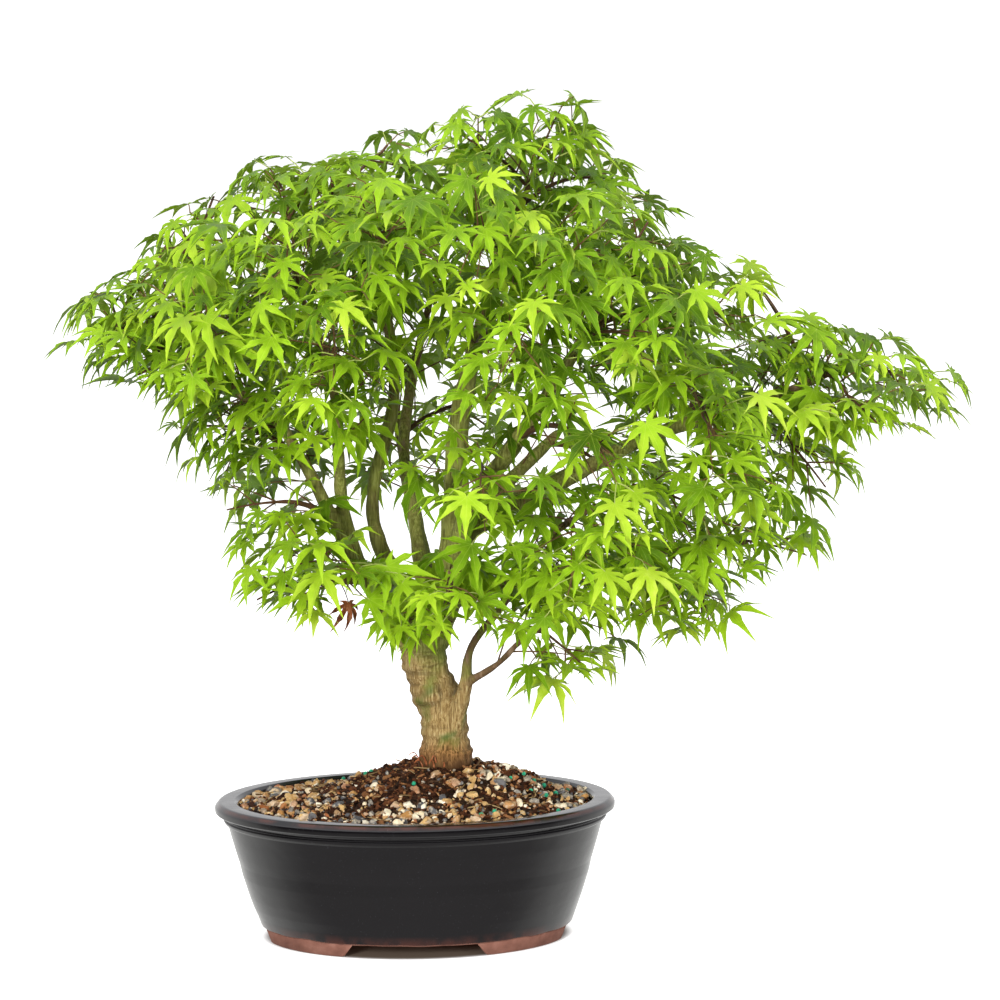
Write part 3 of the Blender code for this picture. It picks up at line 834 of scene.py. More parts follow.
class Grain(Enum):
    """The kinds of loose grain on the soil, each with its colours from dark to pale."""

    STONE = (
        (0.00, (0.060, 0.060, 0.070)), (0.14, (0.170, 0.162, 0.162)), (0.26, (0.360, 0.310, 0.245)),
        (0.38, (0.450, 0.225, 0.070)), (0.56, (0.680, 0.450, 0.190)), (0.72, (0.380, 0.115, 0.035)),
        (0.86, (0.860, 0.710, 0.480)), (1.00, (0.950, 0.880, 0.720)),
    )
    CHIP = (
        (0.00, (0.016, 0.006, 0.003)), (0.45, (0.058, 0.020, 0.009)), (0.80, (0.140, 0.050, 0.021)),
        (1.00, (0.380, 0.180, 0.070)),
    )
    BEAD = ((0.0, (0.015, 0.230, 0.120)), (1.0, (0.035, 0.400, 0.220)))
    FIBRE = ((0.0, (0.150, 0.080, 0.035)), (1.0, (0.480, 0.330, 0.150)))


@dataclass(frozen=True)
class GrainFinish:
    """The surface of one kind of loose grain, coloured by each grain's own tint."""

    grain: Grain
    dirt: Colour = (0.30, 0.22, 0.16)
    vein: Colour = (0.80, 0.70, 0.52)

    def material(self, effects: Effects) -> bpy.types.Material:
        """Make the material.

        Args:
            effects: The shared effects.

        Returns:
            The material.
        """
        glossy = self.grain is Grain.BEAD
        veined = 0.45 if self.grain is Grain.STONE else 0.0
        sleek, rough = (0.25, 0.4) if glossy else (0.62, 0.9)
        surface = Surface("grain_" + self.grain.name.lower(), Specular_IOR_Level=0.45 if glossy else 0.3)
        tree = surface.tree
        place = surface.coordinates()
        grain = effects.grain.place(surface, Vector=place, Scale=700.0, Detail=5.0, Sleek=sleek, Rough=rough)
        veins = effects.speckle.place(
            surface, Vector=place, Scale=260.0, Detail=4.0, Threshold=0.52, Softness=0.10)
        fine = grain.outputs["Height"]
        colour = tree.ramp(surface.attribute("tint"), self.grain.value)
        colour = tree.mix(tree.span(fine, 0.45, 0.75, 0.0, 0.45), colour, self.dirt, "MULTIPLY")
        surface.feed(
            Base_Color=tree.mix(tree.math("MULTIPLY", veins.outputs["Mask"], veined), colour, self.vein),
            Roughness=grain.outputs["Roughness"],
            Normal=surface.bump(fine, 0.0002 if glossy else 0.0012, 0.7),
        )
        return surface.material


@dataclass(frozen=True)
class ScreenFinish:
    """The dusty black plastic of the drainage screens."""

    plastic: Colour = (0.012, 0.012, 0.012)
    dust: Colour = (0.09, 0.06, 0.04)

    def material(self, effects: Effects) -> bpy.types.Material:
        """Make the material.

        Args:
            effects: The shared effects.

        Returns:
            The material.
        """
        surface = Surface("screen_plastic", Specular_IOR_Level=0.4)
        tree = surface.tree
        place = surface.coordinates()
        dust = effects.speckle.place(
            surface, Vector=place, Scale=150.0, Detail=4.0, Threshold=0.5, Softness=0.25)
        grain = effects.grain.place(surface, Vector=place, Scale=150.0, Detail=4.0, Sleek=0.4, Rough=0.7)
        surface.feed(
            Base_Color=tree.mix(tree.math("MULTIPLY", dust.outputs["Mask"], 0.5), self.plastic, self.dust),
            Roughness=grain.outputs["Roughness"],
            Normal=surface.bump(grain.outputs["Height"], 0.0002),
        )
        return surface.material


@dataclass(frozen=True)
class FloorFinish:
    """The white floor, which glows except under the pot, where real shade shows and painted shade darkens it.
    """

    white: Colour = (0.9, 0.9, 0.9)
    painted_shade: Colour = (0.19, 0.15, 0.115)

    def material(self) -> bpy.types.Material:
        """Make the material.

        Returns:
            The material.
        """
        surface = Surface("white_floor", Roughness=0.9, Specular_IOR_Level=0.0)
        tree = surface.tree
        surface.shader.inputs["Emission Color"].default_value = (*self.white, 1.0)
        place = tree.node("ShaderNodeTexCoord").outputs["Object"]
        local = tree.node("ShaderNodeVectorMath", {0: place, 1: SITE.middle}, operation="SUBTRACT").outputs[0]
        oval = tree.node("ShaderNodeVectorMath", {
            0: local, 1: (1.0, 1.0 / SITE.oval, 0.0)}, operation="MULTIPLY")
        reach = tree.node("ShaderNodeVectorMath", {0: oval.outputs[0]}, operation="LENGTH").outputs[1]
        # Under the pot the base colour turns dark brown: painted shade beneath the pot.
        surface.feed(
            Emission_Strength=tree.span(reach, 0.111, 0.122, 0.0, 1.0),
            Base_Color=tree.mix(tree.span(reach, 0.106, 0.120), self.painted_shade, self.white),
        )
        return surface.material


@dataclass(frozen=True)
class Finishes:
    """All the materials of the object."""

    glaze: bpy.types.Material
    clay: bpy.types.Material
    leaf: bpy.types.Material
    withered: bpy.types.Material
    stalk: bpy.types.Material
    bark: bpy.types.Material
    soil: bpy.types.Material
    screen: bpy.types.Material
    grains: dict[Grain, bpy.types.Material]

    @classmethod
    def make(cls) -> "Finishes":
        """Make every material around one set of effects.

        Returns:
            The materials.
        """
        effects = Effects()
        return cls(
            glaze=GlazeFinish().material(effects),
            clay=ClayFinish().material(effects),
            leaf=LeafFinish().material(effects),
            withered=WitheredFinish().material(effects),
            stalk=StalkFinish().material(effects),
            bark=BarkFinish().material(effects),
            soil=SoilFinish().material(effects),
            screen=ScreenFinish().material(effects),
            grains={grain: GrainFinish(grain).material(effects) for grain in Grain},
        )


# Meshes and pieces ----------------------------------------------------------------------------------


def add_mesh_object(name: str, mesh: bpy.types.Mesh, visible: bool = True) -> bpy.types.Object:
    """Make an object of a mesh.

    Args:
        name: The object's name.
        mesh: Its mesh.
        visible: Whether to link it to the scene; a hidden one only serves as a source.

    Returns:
        The object.
    """
    item = bpy.data.objects.new(name, mesh)
    if visible:
        bpy.context.scene.collection.objects.link(item)
    return item


def mesh_from_shape(name: str, shape: bmesh.types.BMesh) -> bpy.types.Mesh:
    """Turn a bmesh into a mesh and free it.

    Args:
        name: The mesh's name.
        shape: The bmesh.

    Returns:
        The mesh.
    """
    mesh = bpy.data.meshes.new(name)
    shape.to_mesh(mesh)
    shape.free()
    return mesh


def settle(item: bpy.types.Object) -> bpy.types.Object:
    """Replace an object's mesh by its evaluated one, and drop its modifiers.

    Args:
        item: The object.

    Returns:
        The same object.
    """
    bpy.context.view_layer.update()
    graph = bpy.context.evaluated_depsgraph_get()
    mesh = bpy.data.meshes.new_from_object(item.evaluated_get(graph), depsgraph=graph)
    old = item.data
    item.modifiers.clear()
    item.data = mesh
    mesh.name = item.name
    bpy.data.meshes.remove(old)
    return item


def finish_piece(item: bpy.types.Object, replaces: Iterable[str] = ()) -> None:
    """Hand a finished piece to the frame.

    Args:
        item: The piece.
        replaces: The nodes that the piece stands for.
    """
    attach(item, BODY)
    names = tuple(replaces)
    if names:
        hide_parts(*names)


def store(mesh: bpy.types.Mesh, name: str, values: np.ndarray, kind: str = "FLOAT") -> None:
    """Store an attribute on a mesh's points.

    Args:
        mesh: The mesh.
        name: The attribute's name.
        values: One value or vector for each point.
        kind: The attribute's type.
    """
    layer = mesh.attributes.new(name, kind, "POINT")
    key = "vector" if kind == "FLOAT_VECTOR" else "value"
    layer.data.foreach_set(key, np.ravel(values))


def points_of(mesh: bpy.types.Mesh) -> np.ndarray:
    """Return a mesh's points as rows.

    Args:
        mesh: The mesh.

    Returns:
        An array of one row for each point.
    """
    flat = np.empty(len(mesh.vertices) * 3)
    mesh.vertices.foreach_get("co", flat)
    return flat.reshape(-1, 3)


# Geometry trees -------------------------------------------------------------------------------------


class GrowthTree:
    """A Geometry Nodes tree with named inputs, run on an object and then settled."""

    def __init__(self, name: str, inputs: dict[str, str]) -> None:
        """Make the tree's interface.

        Args:
            name: The tree's name.
            inputs: The socket type of each input besides the geometry.
        """
        self.group = bpy.data.node_groups.new(name, "GeometryNodeTree")
        face = self.group.interface
        face.new_socket(name="Geometry", in_out="INPUT", socket_type="NodeSocketGeometry")
        face.new_socket(name="Geometry", in_out="OUTPUT", socket_type="NodeSocketGeometry")
        self.sockets = {
            key: face.new_socket(name=key, in_out="INPUT", socket_type=kind).identifier
            for key, kind in inputs.items()
        }
        self.tree = Tree(self.group)
        self.entry = self.tree.node("NodeGroupInput")

    def input(self, name: str) -> bpy.types.NodeSocket:
        """Return an input inside the tree.

        Args:
            name: The input's name.

        Returns:
            The socket.
        """
        return self.entry.outputs[name]

    def named(self, name: str, kind: str = "FLOAT") -> bpy.types.NodeSocket:
        """Return an attribute's socket.

        Args:
            name: The attribute's name.
            kind: Its type.

        Returns:
            The socket.
        """
        return self.tree.node("GeometryNodeInputNamedAttribute", {"Name": name}, data_type=kind).outputs[0]

    def random(self, low: float, high: float, salt: int) -> bpy.types.NodeSocket:
        """Return a random value for each element, from the tree's own seed.

        Args:
            low: The least value.
            high: The greatest value.
            salt: A number that sets this value apart from others.

        Returns:
            The socket.
        """
        seed = self.tree.math("ADD", self.input("Seed"), float(salt))
        return self.tree.node(
            "FunctionNodeRandomValue", {2: low, 3: high, 8: seed}, data_type="FLOAT").outputs[1]

    def close(self, geometry: bpy.types.NodeSocket, realize: bool) -> None:
        """End the tree: realize instances, set the material, and put the geometry out.

        Args:
            geometry: The geometry's socket.
            realize: Whether there are instances to realize.
        """
        if realize:
            geometry = self.tree.node("GeometryNodeRealizeInstances", {0: geometry}).outputs[0]
        painted = self.tree.node("GeometryNodeSetMaterial", {
            "Geometry": geometry, "Material": self.input("Material")})
        self.tree.node("NodeGroupOutput", {0: painted.outputs[0]})

    def run(self, item: bpy.types.Object, **values) -> bpy.types.Object:
        """Run the tree on an object and keep the result as a plain mesh.

        Args:
            item: The object.
            values: The inputs, with _ for a space in each name.

        Returns:
            The same object.
        """
        modifier = item.modifiers.new(self.group.name, "NODES")
        modifier.node_group = self.group
        for key, value in values.items():
            modifier[self.sockets[key.replace("_", " ")]] = value
        return settle(item)


def make_tube_tree() -> GrowthTree:
    """Make the tree that turns routes of edges into tapering tubes, from the girth on each point.

    Returns:
        The tree.
    """
    growth = GrowthTree("tubes_along_routes", {"Material": "NodeSocketMaterial", "Sides": "NodeSocketInt"})
    tree = growth.tree
    curve = tree.node("GeometryNodeMeshToCurve", {"Mesh": growth.input("Geometry")}).outputs[0]
    ring = tree.node("GeometryNodeCurvePrimitiveCircle", {"Resolution": growth.input("Sides"), "Radius": 1.0})
    tube = tree.node("GeometryNodeCurveToMesh", {
        "Curve": curve, "Profile Curve": ring.outputs[0], "Scale": growth.named("girth"), "Fill Caps": True,
    }).outputs[0]
    smooth = tree.node("GeometryNodeSetShadeSmooth", {"Geometry": tube}).outputs[0]
    growth.close(smooth, realize=False)
    return growth


def make_leaf_tree() -> GrowthTree:
    """Make the tree that puts a leaf on every point, turned and sized by the point's attributes.

    Returns:
        The tree.
    """
    growth = GrowthTree("leaves_on_points", {
        "Leaves": "NodeSocketCollection", "Material": "NodeSocketMaterial"})
    tree = growth.tree
    shapes = tree.node("GeometryNodeCollectionInfo", {
        "Collection": growth.input("Leaves"), "Separate Children": True, "Reset Children": True}).outputs[0]
    turn = tree.node("FunctionNodeEulerToRotation", {0: growth.named("turn", "FLOAT_VECTOR")}).outputs[0]
    placed = tree.node("GeometryNodeInstanceOnPoints", {
        "Points": growth.input("Geometry"), "Instance": shapes, "Pick Instance": True,
        "Instance Index": growth.named("kind", "INT"), "Rotation": turn, "Scale": growth.named("size"),
    }).outputs[0]
    growth.close(placed, realize=True)
    return growth


def make_scatter_tree() -> GrowthTree:
    """Make the tree that scatters grains over a surface, thickest where its cover attribute is 1.

    Returns:
        The tree.
    """
    growth = GrowthTree("scattered_grains", {
        "Grains": "NodeSocketCollection", "Material": "NodeSocketMaterial", "Density": "NodeSocketFloat",
        "Seed": "NodeSocketInt", "Smallest": "NodeSocketFloat", "Largest": "NodeSocketFloat",
        "Sink": "NodeSocketFloat", "Tilt": "NodeSocketFloat",
    })
    tree = growth.tree
    spread = tree.node("GeometryNodeDistributePointsOnFaces", {
        "Mesh": growth.input("Geometry"),
        "Density": tree.math("MULTIPLY", growth.input("Density"), growth.named("cover")),
        "Seed": growth.input("Seed")})
    share = tree.math("POWER", growth.random(0.0, 1.0, 1), 1.7)
    size = tree.math("MULTIPLY_ADD", share, tree.math(
        "SUBTRACT", growth.input("Largest"), growth.input("Smallest")), growth.input("Smallest"))
    tinted = tree.node("GeometryNodeStoreNamedAttribute", {
        "Geometry": spread.outputs["Points"], "Name": "tint", "Value": growth.random(0.0, 1.0, 2),
    }, data_type="FLOAT", domain="POINT").outputs[0]
    sink = tree.math("MULTIPLY", tree.math("MULTIPLY", size, growth.input("Sink")), -1.0)
    offset = tree.node("ShaderNodeCombineXYZ", {2: sink}).outputs[0]
    moved = tree.node("GeometryNodeSetPosition", {"Geometry": tinted, "Offset": offset}).outputs[0]
    lean = [tree.math("MULTIPLY", growth.input("Tilt"), growth.random(-1.0, 1.0, salt)) for salt in (3, 4)]
    angles = tree.node("ShaderNodeCombineXYZ", {0: lean[0], 1: lean[1], 2: growth.random(0.0, math.tau, 5)})
    turn = tree.node("FunctionNodeEulerToRotation", {0: angles.outputs[0]}).outputs[0]
    shapes = tree.node("GeometryNodeCollectionInfo", {
        "Collection": growth.input("Grains"), "Separate Children": True, "Reset Children": True}).outputs[0]
    pick = tree.math("FLOOR", growth.random(0.0, 5.999, 6))
    placed = tree.node("GeometryNodeInstanceOnPoints", {
        "Points": moved, "Instance": shapes, "Pick Instance": True, "Instance Index": pick,
        "Rotation": turn, "Scale": size,
    }).outputs[0]
    growth.close(placed, realize=True)
    return growth


@dataclass(frozen=True)
class Growths:
    """The Geometry Nodes trees."""

    tubes: GrowthTree = field(default_factory=make_tube_tree)
    leaves: GrowthTree = field(default_factory=make_leaf_tree)
    scatter: GrowthTree = field(default_factory=make_scatter_tree)


# Pot ------------------------------------------------------------------------------------------------


def rounded_profile(corners: Sequence[tuple[float, float, float]],
                    steps: int = 5) -> list[tuple[float, float]]:
    """Round the corners of a profile with arcs.

    Args:
        corners: Each corner as (half-length, height, radius of the rounding).
        steps: The number of points on each arc.

    Returns:
        The profile's points.
    """
    result = []
    for k, (r, z, radius) in enumerate(corners):
        corner = Vector((r, z))
        if radius == 0 or k in (0, len(corners) - 1):
            result.append((r, z))
            continue
        before = (Vector(corners[k - 1][:2]) - corner)
        after = (Vector(corners[k + 1][:2]) - corner)
        angle = before.angle(after)
        reach = min(radius / math.tan(angle / 2), 0.45 * before.length, 0.45 * after.length)
        first = corner + before.normalized() * reach
        last = corner + after.normalized() * reach
        for step in range(steps + 1):
            t = step / steps
            place = first * (1 - t) ** 2 + corner * 2 * t * (1 - t) + last * t ** 2
            result.append((place.x, place.y))
    return result


@dataclass
class Pot:
    """The glazed pot, its bare clay feet and the screens over its drain holes.

    Attributes:
        finishes: The materials.
        steps: The number of divisions around the pot.
        notch: Half of the front notch's length at the table and at its top, in millimetres.
        side_notch: The same for the notches at the ends.
        foot: The feet's height in millimetres.
    """

    finishes: Finishes
    steps: int = 256
    notch: tuple[float, float] = (53.5, 45.5)
    side_notch: tuple[float, float] = (30.0, 24.0)
    foot: float = 10.0
    drain_x: float = 58.0
    drain_radius: float = 9.0

    def wall_profile(self) -> list[tuple[float, float]]:
        """Return the glazed body's profile in millimetres, from the floor inside to the foot's top."""
        top = SITE.height / MM
        rim = SITE.rim / MM
        return rounded_profile([
            (0, 17, 0), (100, 17, 6), (112, 23, 16), (124, 55, 60), (133, 97, 12), (134.5, 103.4, 3),
            (137.2, top, 1.6), (149.0, top, 3.6), (rim, 101.6, 3.2), (152.2, 97.6, 1.2), (150.2, 96.4, 0.8),
            (146.6, 95.8, 1.0), (144.2, 92.9, 1.0), (146.3, 92.0, 0.6), (145.4, 89.9, 0.7),
            (142.9, 88.6, 1.0), (140.2, 78, 14), (136.4, 65, 10), (134.2, 58, 10), (132.2, 49, 14),
            (127.2, 33, 20), (124.4, 25, 7), (121.6, 18, 8), (118.9, 10.6, 1.4),
            (117.4, 9.6, 0.8), (101, 11, 2), (98, 11.5, 0.8), (0, 11.5, 0),
        ])

    def build(self) -> None:
        """Build the body, the feet and the screens."""
        self._body()
        self._feet()
        self._screens()
        LOG.info("pot, feet and screens")

    def _body(self) -> None:
        """Turn the profile round the oval, ripple the wall a little and cut the drain holes."""
        profile = self.wall_profile()[1:-1]
        shape = bmesh.new()
        edge = shape.verts.layers.float.new("edge")
        rings = []
        for r, z in profile:
            ring = []
            for k in range(self.steps):
                turn = math.tau * k / self.steps
                ripple = noise.noise(Vector((1.6 * math.cos(turn), 1.6 * math.sin(turn), z / 55.0)))
                reach = r + (0.7 * ripple if 20 < z < 88 and r > 116 else 0.0)
                drip = 0.9 * noise.noise(Vector((5 * math.cos(turn), 5 * math.sin(turn), 3.0)))
                height = z + (drip if z < 12 and r > 117 else 0.0)
                place = SITE.place(reach * math.cos(turn), reach * SITE.oval * math.sin(turn), height)
                vertex = shape.verts.new(place)
                vertex[edge] = self._edge_share(r, z)
                ring.append(vertex)
            rings.append(ring)
        for lower, upper in zip(rings, rings[1:]):
            for k in range(self.steps):
                j = (k + 1) % self.steps
                shape.faces.new((lower[k], upper[k], upper[j], lower[j]))
        shape.faces.new(rings[0])
        shape.faces.new(reversed(rings[-1]))
        bmesh.ops.recalc_face_normals(shape, faces=shape.faces)
        for face in shape.faces:
            face.smooth = True
        body = add_mesh_object("pot_body", mesh_from_shape("pot_body", shape))
        for x in (-self.drain_x, self.drain_x):
            self._cut_hole(body, SITE.place(x, 0, 14))
        settle(body)
        body.data.set_sharp_from_angle(angle=math.radians(50))
        body.data.materials.append(self.finishes.glaze)
        body.data.materials.append(self.finishes.clay)
        self._bare_underside(body.data)
        finish_piece(body, ["pot"])

    @staticmethod
    def _edge_share(r: float, z: float) -> float:
        """Return how far the glaze has run thin at a point of the profile."""
        lips = ((150.2, 104.6), (151.4, 103.6))
        nearest = min(math.hypot(r - x, z - y) for x, y in lips)
        foot = max(0.0, 1.0 - abs(z - 11.5) / 2.5) if r > 116 else 0.0
        return max(foot * 0.8, max(0.0, 1.0 - nearest / 1.5))

    def _cut_hole(self, body: bpy.types.Object, place: Vector) -> None:
        """Cut one drain hole.

        Args:
            body: The pot's body.
            place: The hole's middle.
        """
        shape = bmesh.new()
        bmesh.ops.create_cone(shape, cap_ends=True, segments=48, radius1=self.drain_radius * MM,
                              radius2=self.drain_radius * MM, depth=20 * MM)
        shape.transform(Matrix.Translation(place))
        cutter = add_mesh_object("drain_cutter", mesh_from_shape("drain_cutter", shape))
        modifier = body.modifiers.new("Drain", "BOOLEAN")
        modifier.object = cutter
        modifier.operation = "DIFFERENCE"
        settle(body)
        bpy.data.objects.remove(cutter)

    def _bare_underside(self, mesh: bpy.types.Mesh) -> None:
        """Give the faces below the foot's top the bare clay."""
        limit = SITE.middle.z + 12.2 * MM
        for polygon in mesh.polygons:
            if polygon.center.z < limit and polygon.normal.z < -0.5:
                polygon.material_index = 1

    def _feet(self) -> None:
        """Build the four feet: corners of an oval ring, with sloping ends at the notches."""
        loop = [(100.6, 12), (101.2, 0.8), (102.2, 0), (114.9, 0), (116.1, 1.0), (117.9, 9.2), (117.6, 12)]
        spans = 14
        for number, (sx, sy) in enumerate(((1, 1), (-1, 1), (-1, -1), (1, -1)), start=1):
            shape = bmesh.new()
            sections = []
            for step in range(spans + 1):
                share = step / spans
                section = []
                for r, z in loop:
                    rise = min(1.0, z / self.foot)
                    across = self.side_notch[0] + (self.side_notch[1] - self.side_notch[0]) * rise
                    front = self.notch[0] + (self.notch[1] - self.notch[0]) * rise
                    start = math.asin(across / (r * SITE.oval))
                    end = math.acos(front / r)
                    turn = start + (end - start) * share
                    x, y = r * math.cos(turn), r * SITE.oval * math.sin(turn)
                    section.append(shape.verts.new(SITE.place(sx * x, sy * y, z)))
                sections.append(section)
            for first, second in zip(sections, sections[1:]):
                for k in range(len(loop)):
                    j = (k + 1) % len(loop)
                    shape.faces.new((first[k], first[j], second[j], second[k]))
            shape.faces.new(sections[0])
            shape.faces.new(reversed(sections[-1]))
            bmesh.ops.recalc_face_normals(shape, faces=shape.faces)
            ends = [edge for edge in shape.edges if edge.calc_face_angle(0.0) > math.radians(50)]
            bmesh.ops.bevel(shape, geom=ends, offset=0.7 * MM, segments=2, affect="EDGES")
            for face in shape.faces:
                face.smooth = True
            foot = add_mesh_object(f"pot_foot_{number}", mesh_from_shape("foot", shape))
            foot.data.set_sharp_from_angle(angle=math.radians(40))
            foot.data.materials.append(self.finishes.clay)
            finish_piece(foot)

    def _screens(self) -> None:
        """Build each drainage screen as a mesh of ribs."""
        for side in ("left", "right"):
            node = "drainage_screen_" + side
            low, high = (Vector(corner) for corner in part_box(node))
            middle, size = (low + high) / 2, high - low
            shape = bmesh.new()
            bmesh.ops.create_grid(shape, x_segments=12, y_segments=12, size=size.x / 2 * 0.97)
            shape.transform(Matrix.Translation(middle))
            item = add_mesh_object("drainage_mesh_" + side, mesh_from_shape(node, shape))
            wire = item.modifiers.new("Ribs", "WIREFRAME")
            wire.thickness = size.z * 0.75
            wire.use_even_offset = False
            settle(item)
            item.data.materials.append(self.finishes.screen)
            finish_piece(item, [node])


# Soil -----------------------------------------------------------------------------------------------


def soil_height(x: float, y: float) -> float:
    """Return the mound's height above the table at a place, all in millimetres from the pot's middle.

    Args:
        x: Distance to the right.
        y: Distance to the back.

    Returns:
        The height.
    """
    reach = math.hypot(x, y / SITE.oval)
    away = max(0.0, math.hypot(x - 24.0, y / SITE.oval) - 33.0)
    ease = min(1.0, 3.0 * max(0.0, 1.0 - reach / 133.0))
    return 102.9 + ease * 27.6 * math.exp(-(away / 54.0) ** 1.6)


def pebble(seed: int, detail: int, flatness: float, facet: float = 0.0) -> bmesh.types.BMesh:
    """Make an uneven stone of unit size.

    Args:
        seed: The seed of its shape.
        detail: The icosphere's subdivisions.
        flatness: Its height as a share of its width.
        facet: The angle in degrees under which neighbouring faces become one.

    Returns:
        The stone.
    """
    chance = random.Random(seed)
    shape = bmesh.new()
    bmesh.ops.create_icosphere(shape, subdivisions=detail, radius=0.5)
    shift = Vector((seed * 7.3, seed * 1.9, 0))
    for vertex in shape.verts:
        push = noise.noise(vertex.co * 3.0 + shift) * 0.42 + noise.noise(vertex.co * 8.0 + shift) * 0.12
        vertex.co *= 1.0 + push + chance.uniform(-0.03, 0.03)
    for _ in range(7):
        cut = Vector([chance.gauss(0, 1) for _ in range(3)]).normalized()
        level = chance.uniform(0.22, 0.36)
        for vertex in shape.verts:
            over = vertex.co.dot(cut) - level
            if over > 0:
                vertex.co -= cut * over
    bmesh.ops.dissolve_limit(shape, angle_limit=math.radians(facet), verts=shape.verts, edges=shape.edges)
    shape.transform(Matrix.Diagonal((1.12, 0.86, flatness, 1.0)))
    return shape


def chip(seed: int) -> bmesh.types.BMesh:
    """Make a splinter of bark of unit length.

    Args:
        seed: The seed of its shape.

    Returns:
        The splinter.
    """
    chance = random.Random(seed)
    shape = bmesh.new()
    bmesh.ops.create_cube(shape, size=1.0)
    bmesh.ops.subdivide_edges(shape, edges=shape.edges, cuts=1, use_grid_fill=True)
    for vertex in shape.verts:
        vertex.co.x *= 1.0 - 0.5 * abs(vertex.co.y)
        vertex.co += Vector([chance.uniform(-0.10, 0.10) for _ in range(3)])
    width = chance.uniform(0.35, 0.6)
    shape.transform(Matrix.Diagonal((1.0, width, chance.uniform(0.14, 0.26), 1.0)))
    return shape


def bead(seed: int) -> bmesh.types.BMesh:
    """Make a round fertiliser bead of unit size.

    Args:
        seed: The seed of its slight dents.

    Returns:
        The bead.
    """
    chance = random.Random(seed)
    shape = bmesh.new()
    bmesh.ops.create_icosphere(shape, subdivisions=2, radius=0.5)
    for vertex in shape.verts:
        vertex.co *= chance.uniform(0.97, 1.02)
    return shape


def fibre(seed: int) -> bmesh.types.BMesh:
    """Make a bent fibre of unit length.

    Args:
        seed: The seed of its bends.

    Returns:
        The fibre.
    """
    chance = random.Random(seed)
    shape = bmesh.new()
    bmesh.ops.create_cone(shape, cap_ends=True, segments=4, radius1=0.035, radius2=0.02, depth=1.0)
    lengthwise = [edge for edge in shape.edges if abs(edge.verts[0].co.z - edge.verts[1].co.z) > 0.5]
    bmesh.ops.subdivide_edges(shape, edges=lengthwise, cuts=4)
    bend, twist = chance.uniform(-0.5, 0.5), chance.uniform(-0.25, 0.25)
    for vertex in shape.verts:
        t = vertex.co.z
        vertex.co = Vector((t, vertex.co.x + bend * t * t, vertex.co.y + twist * t ** 3))
    return shape


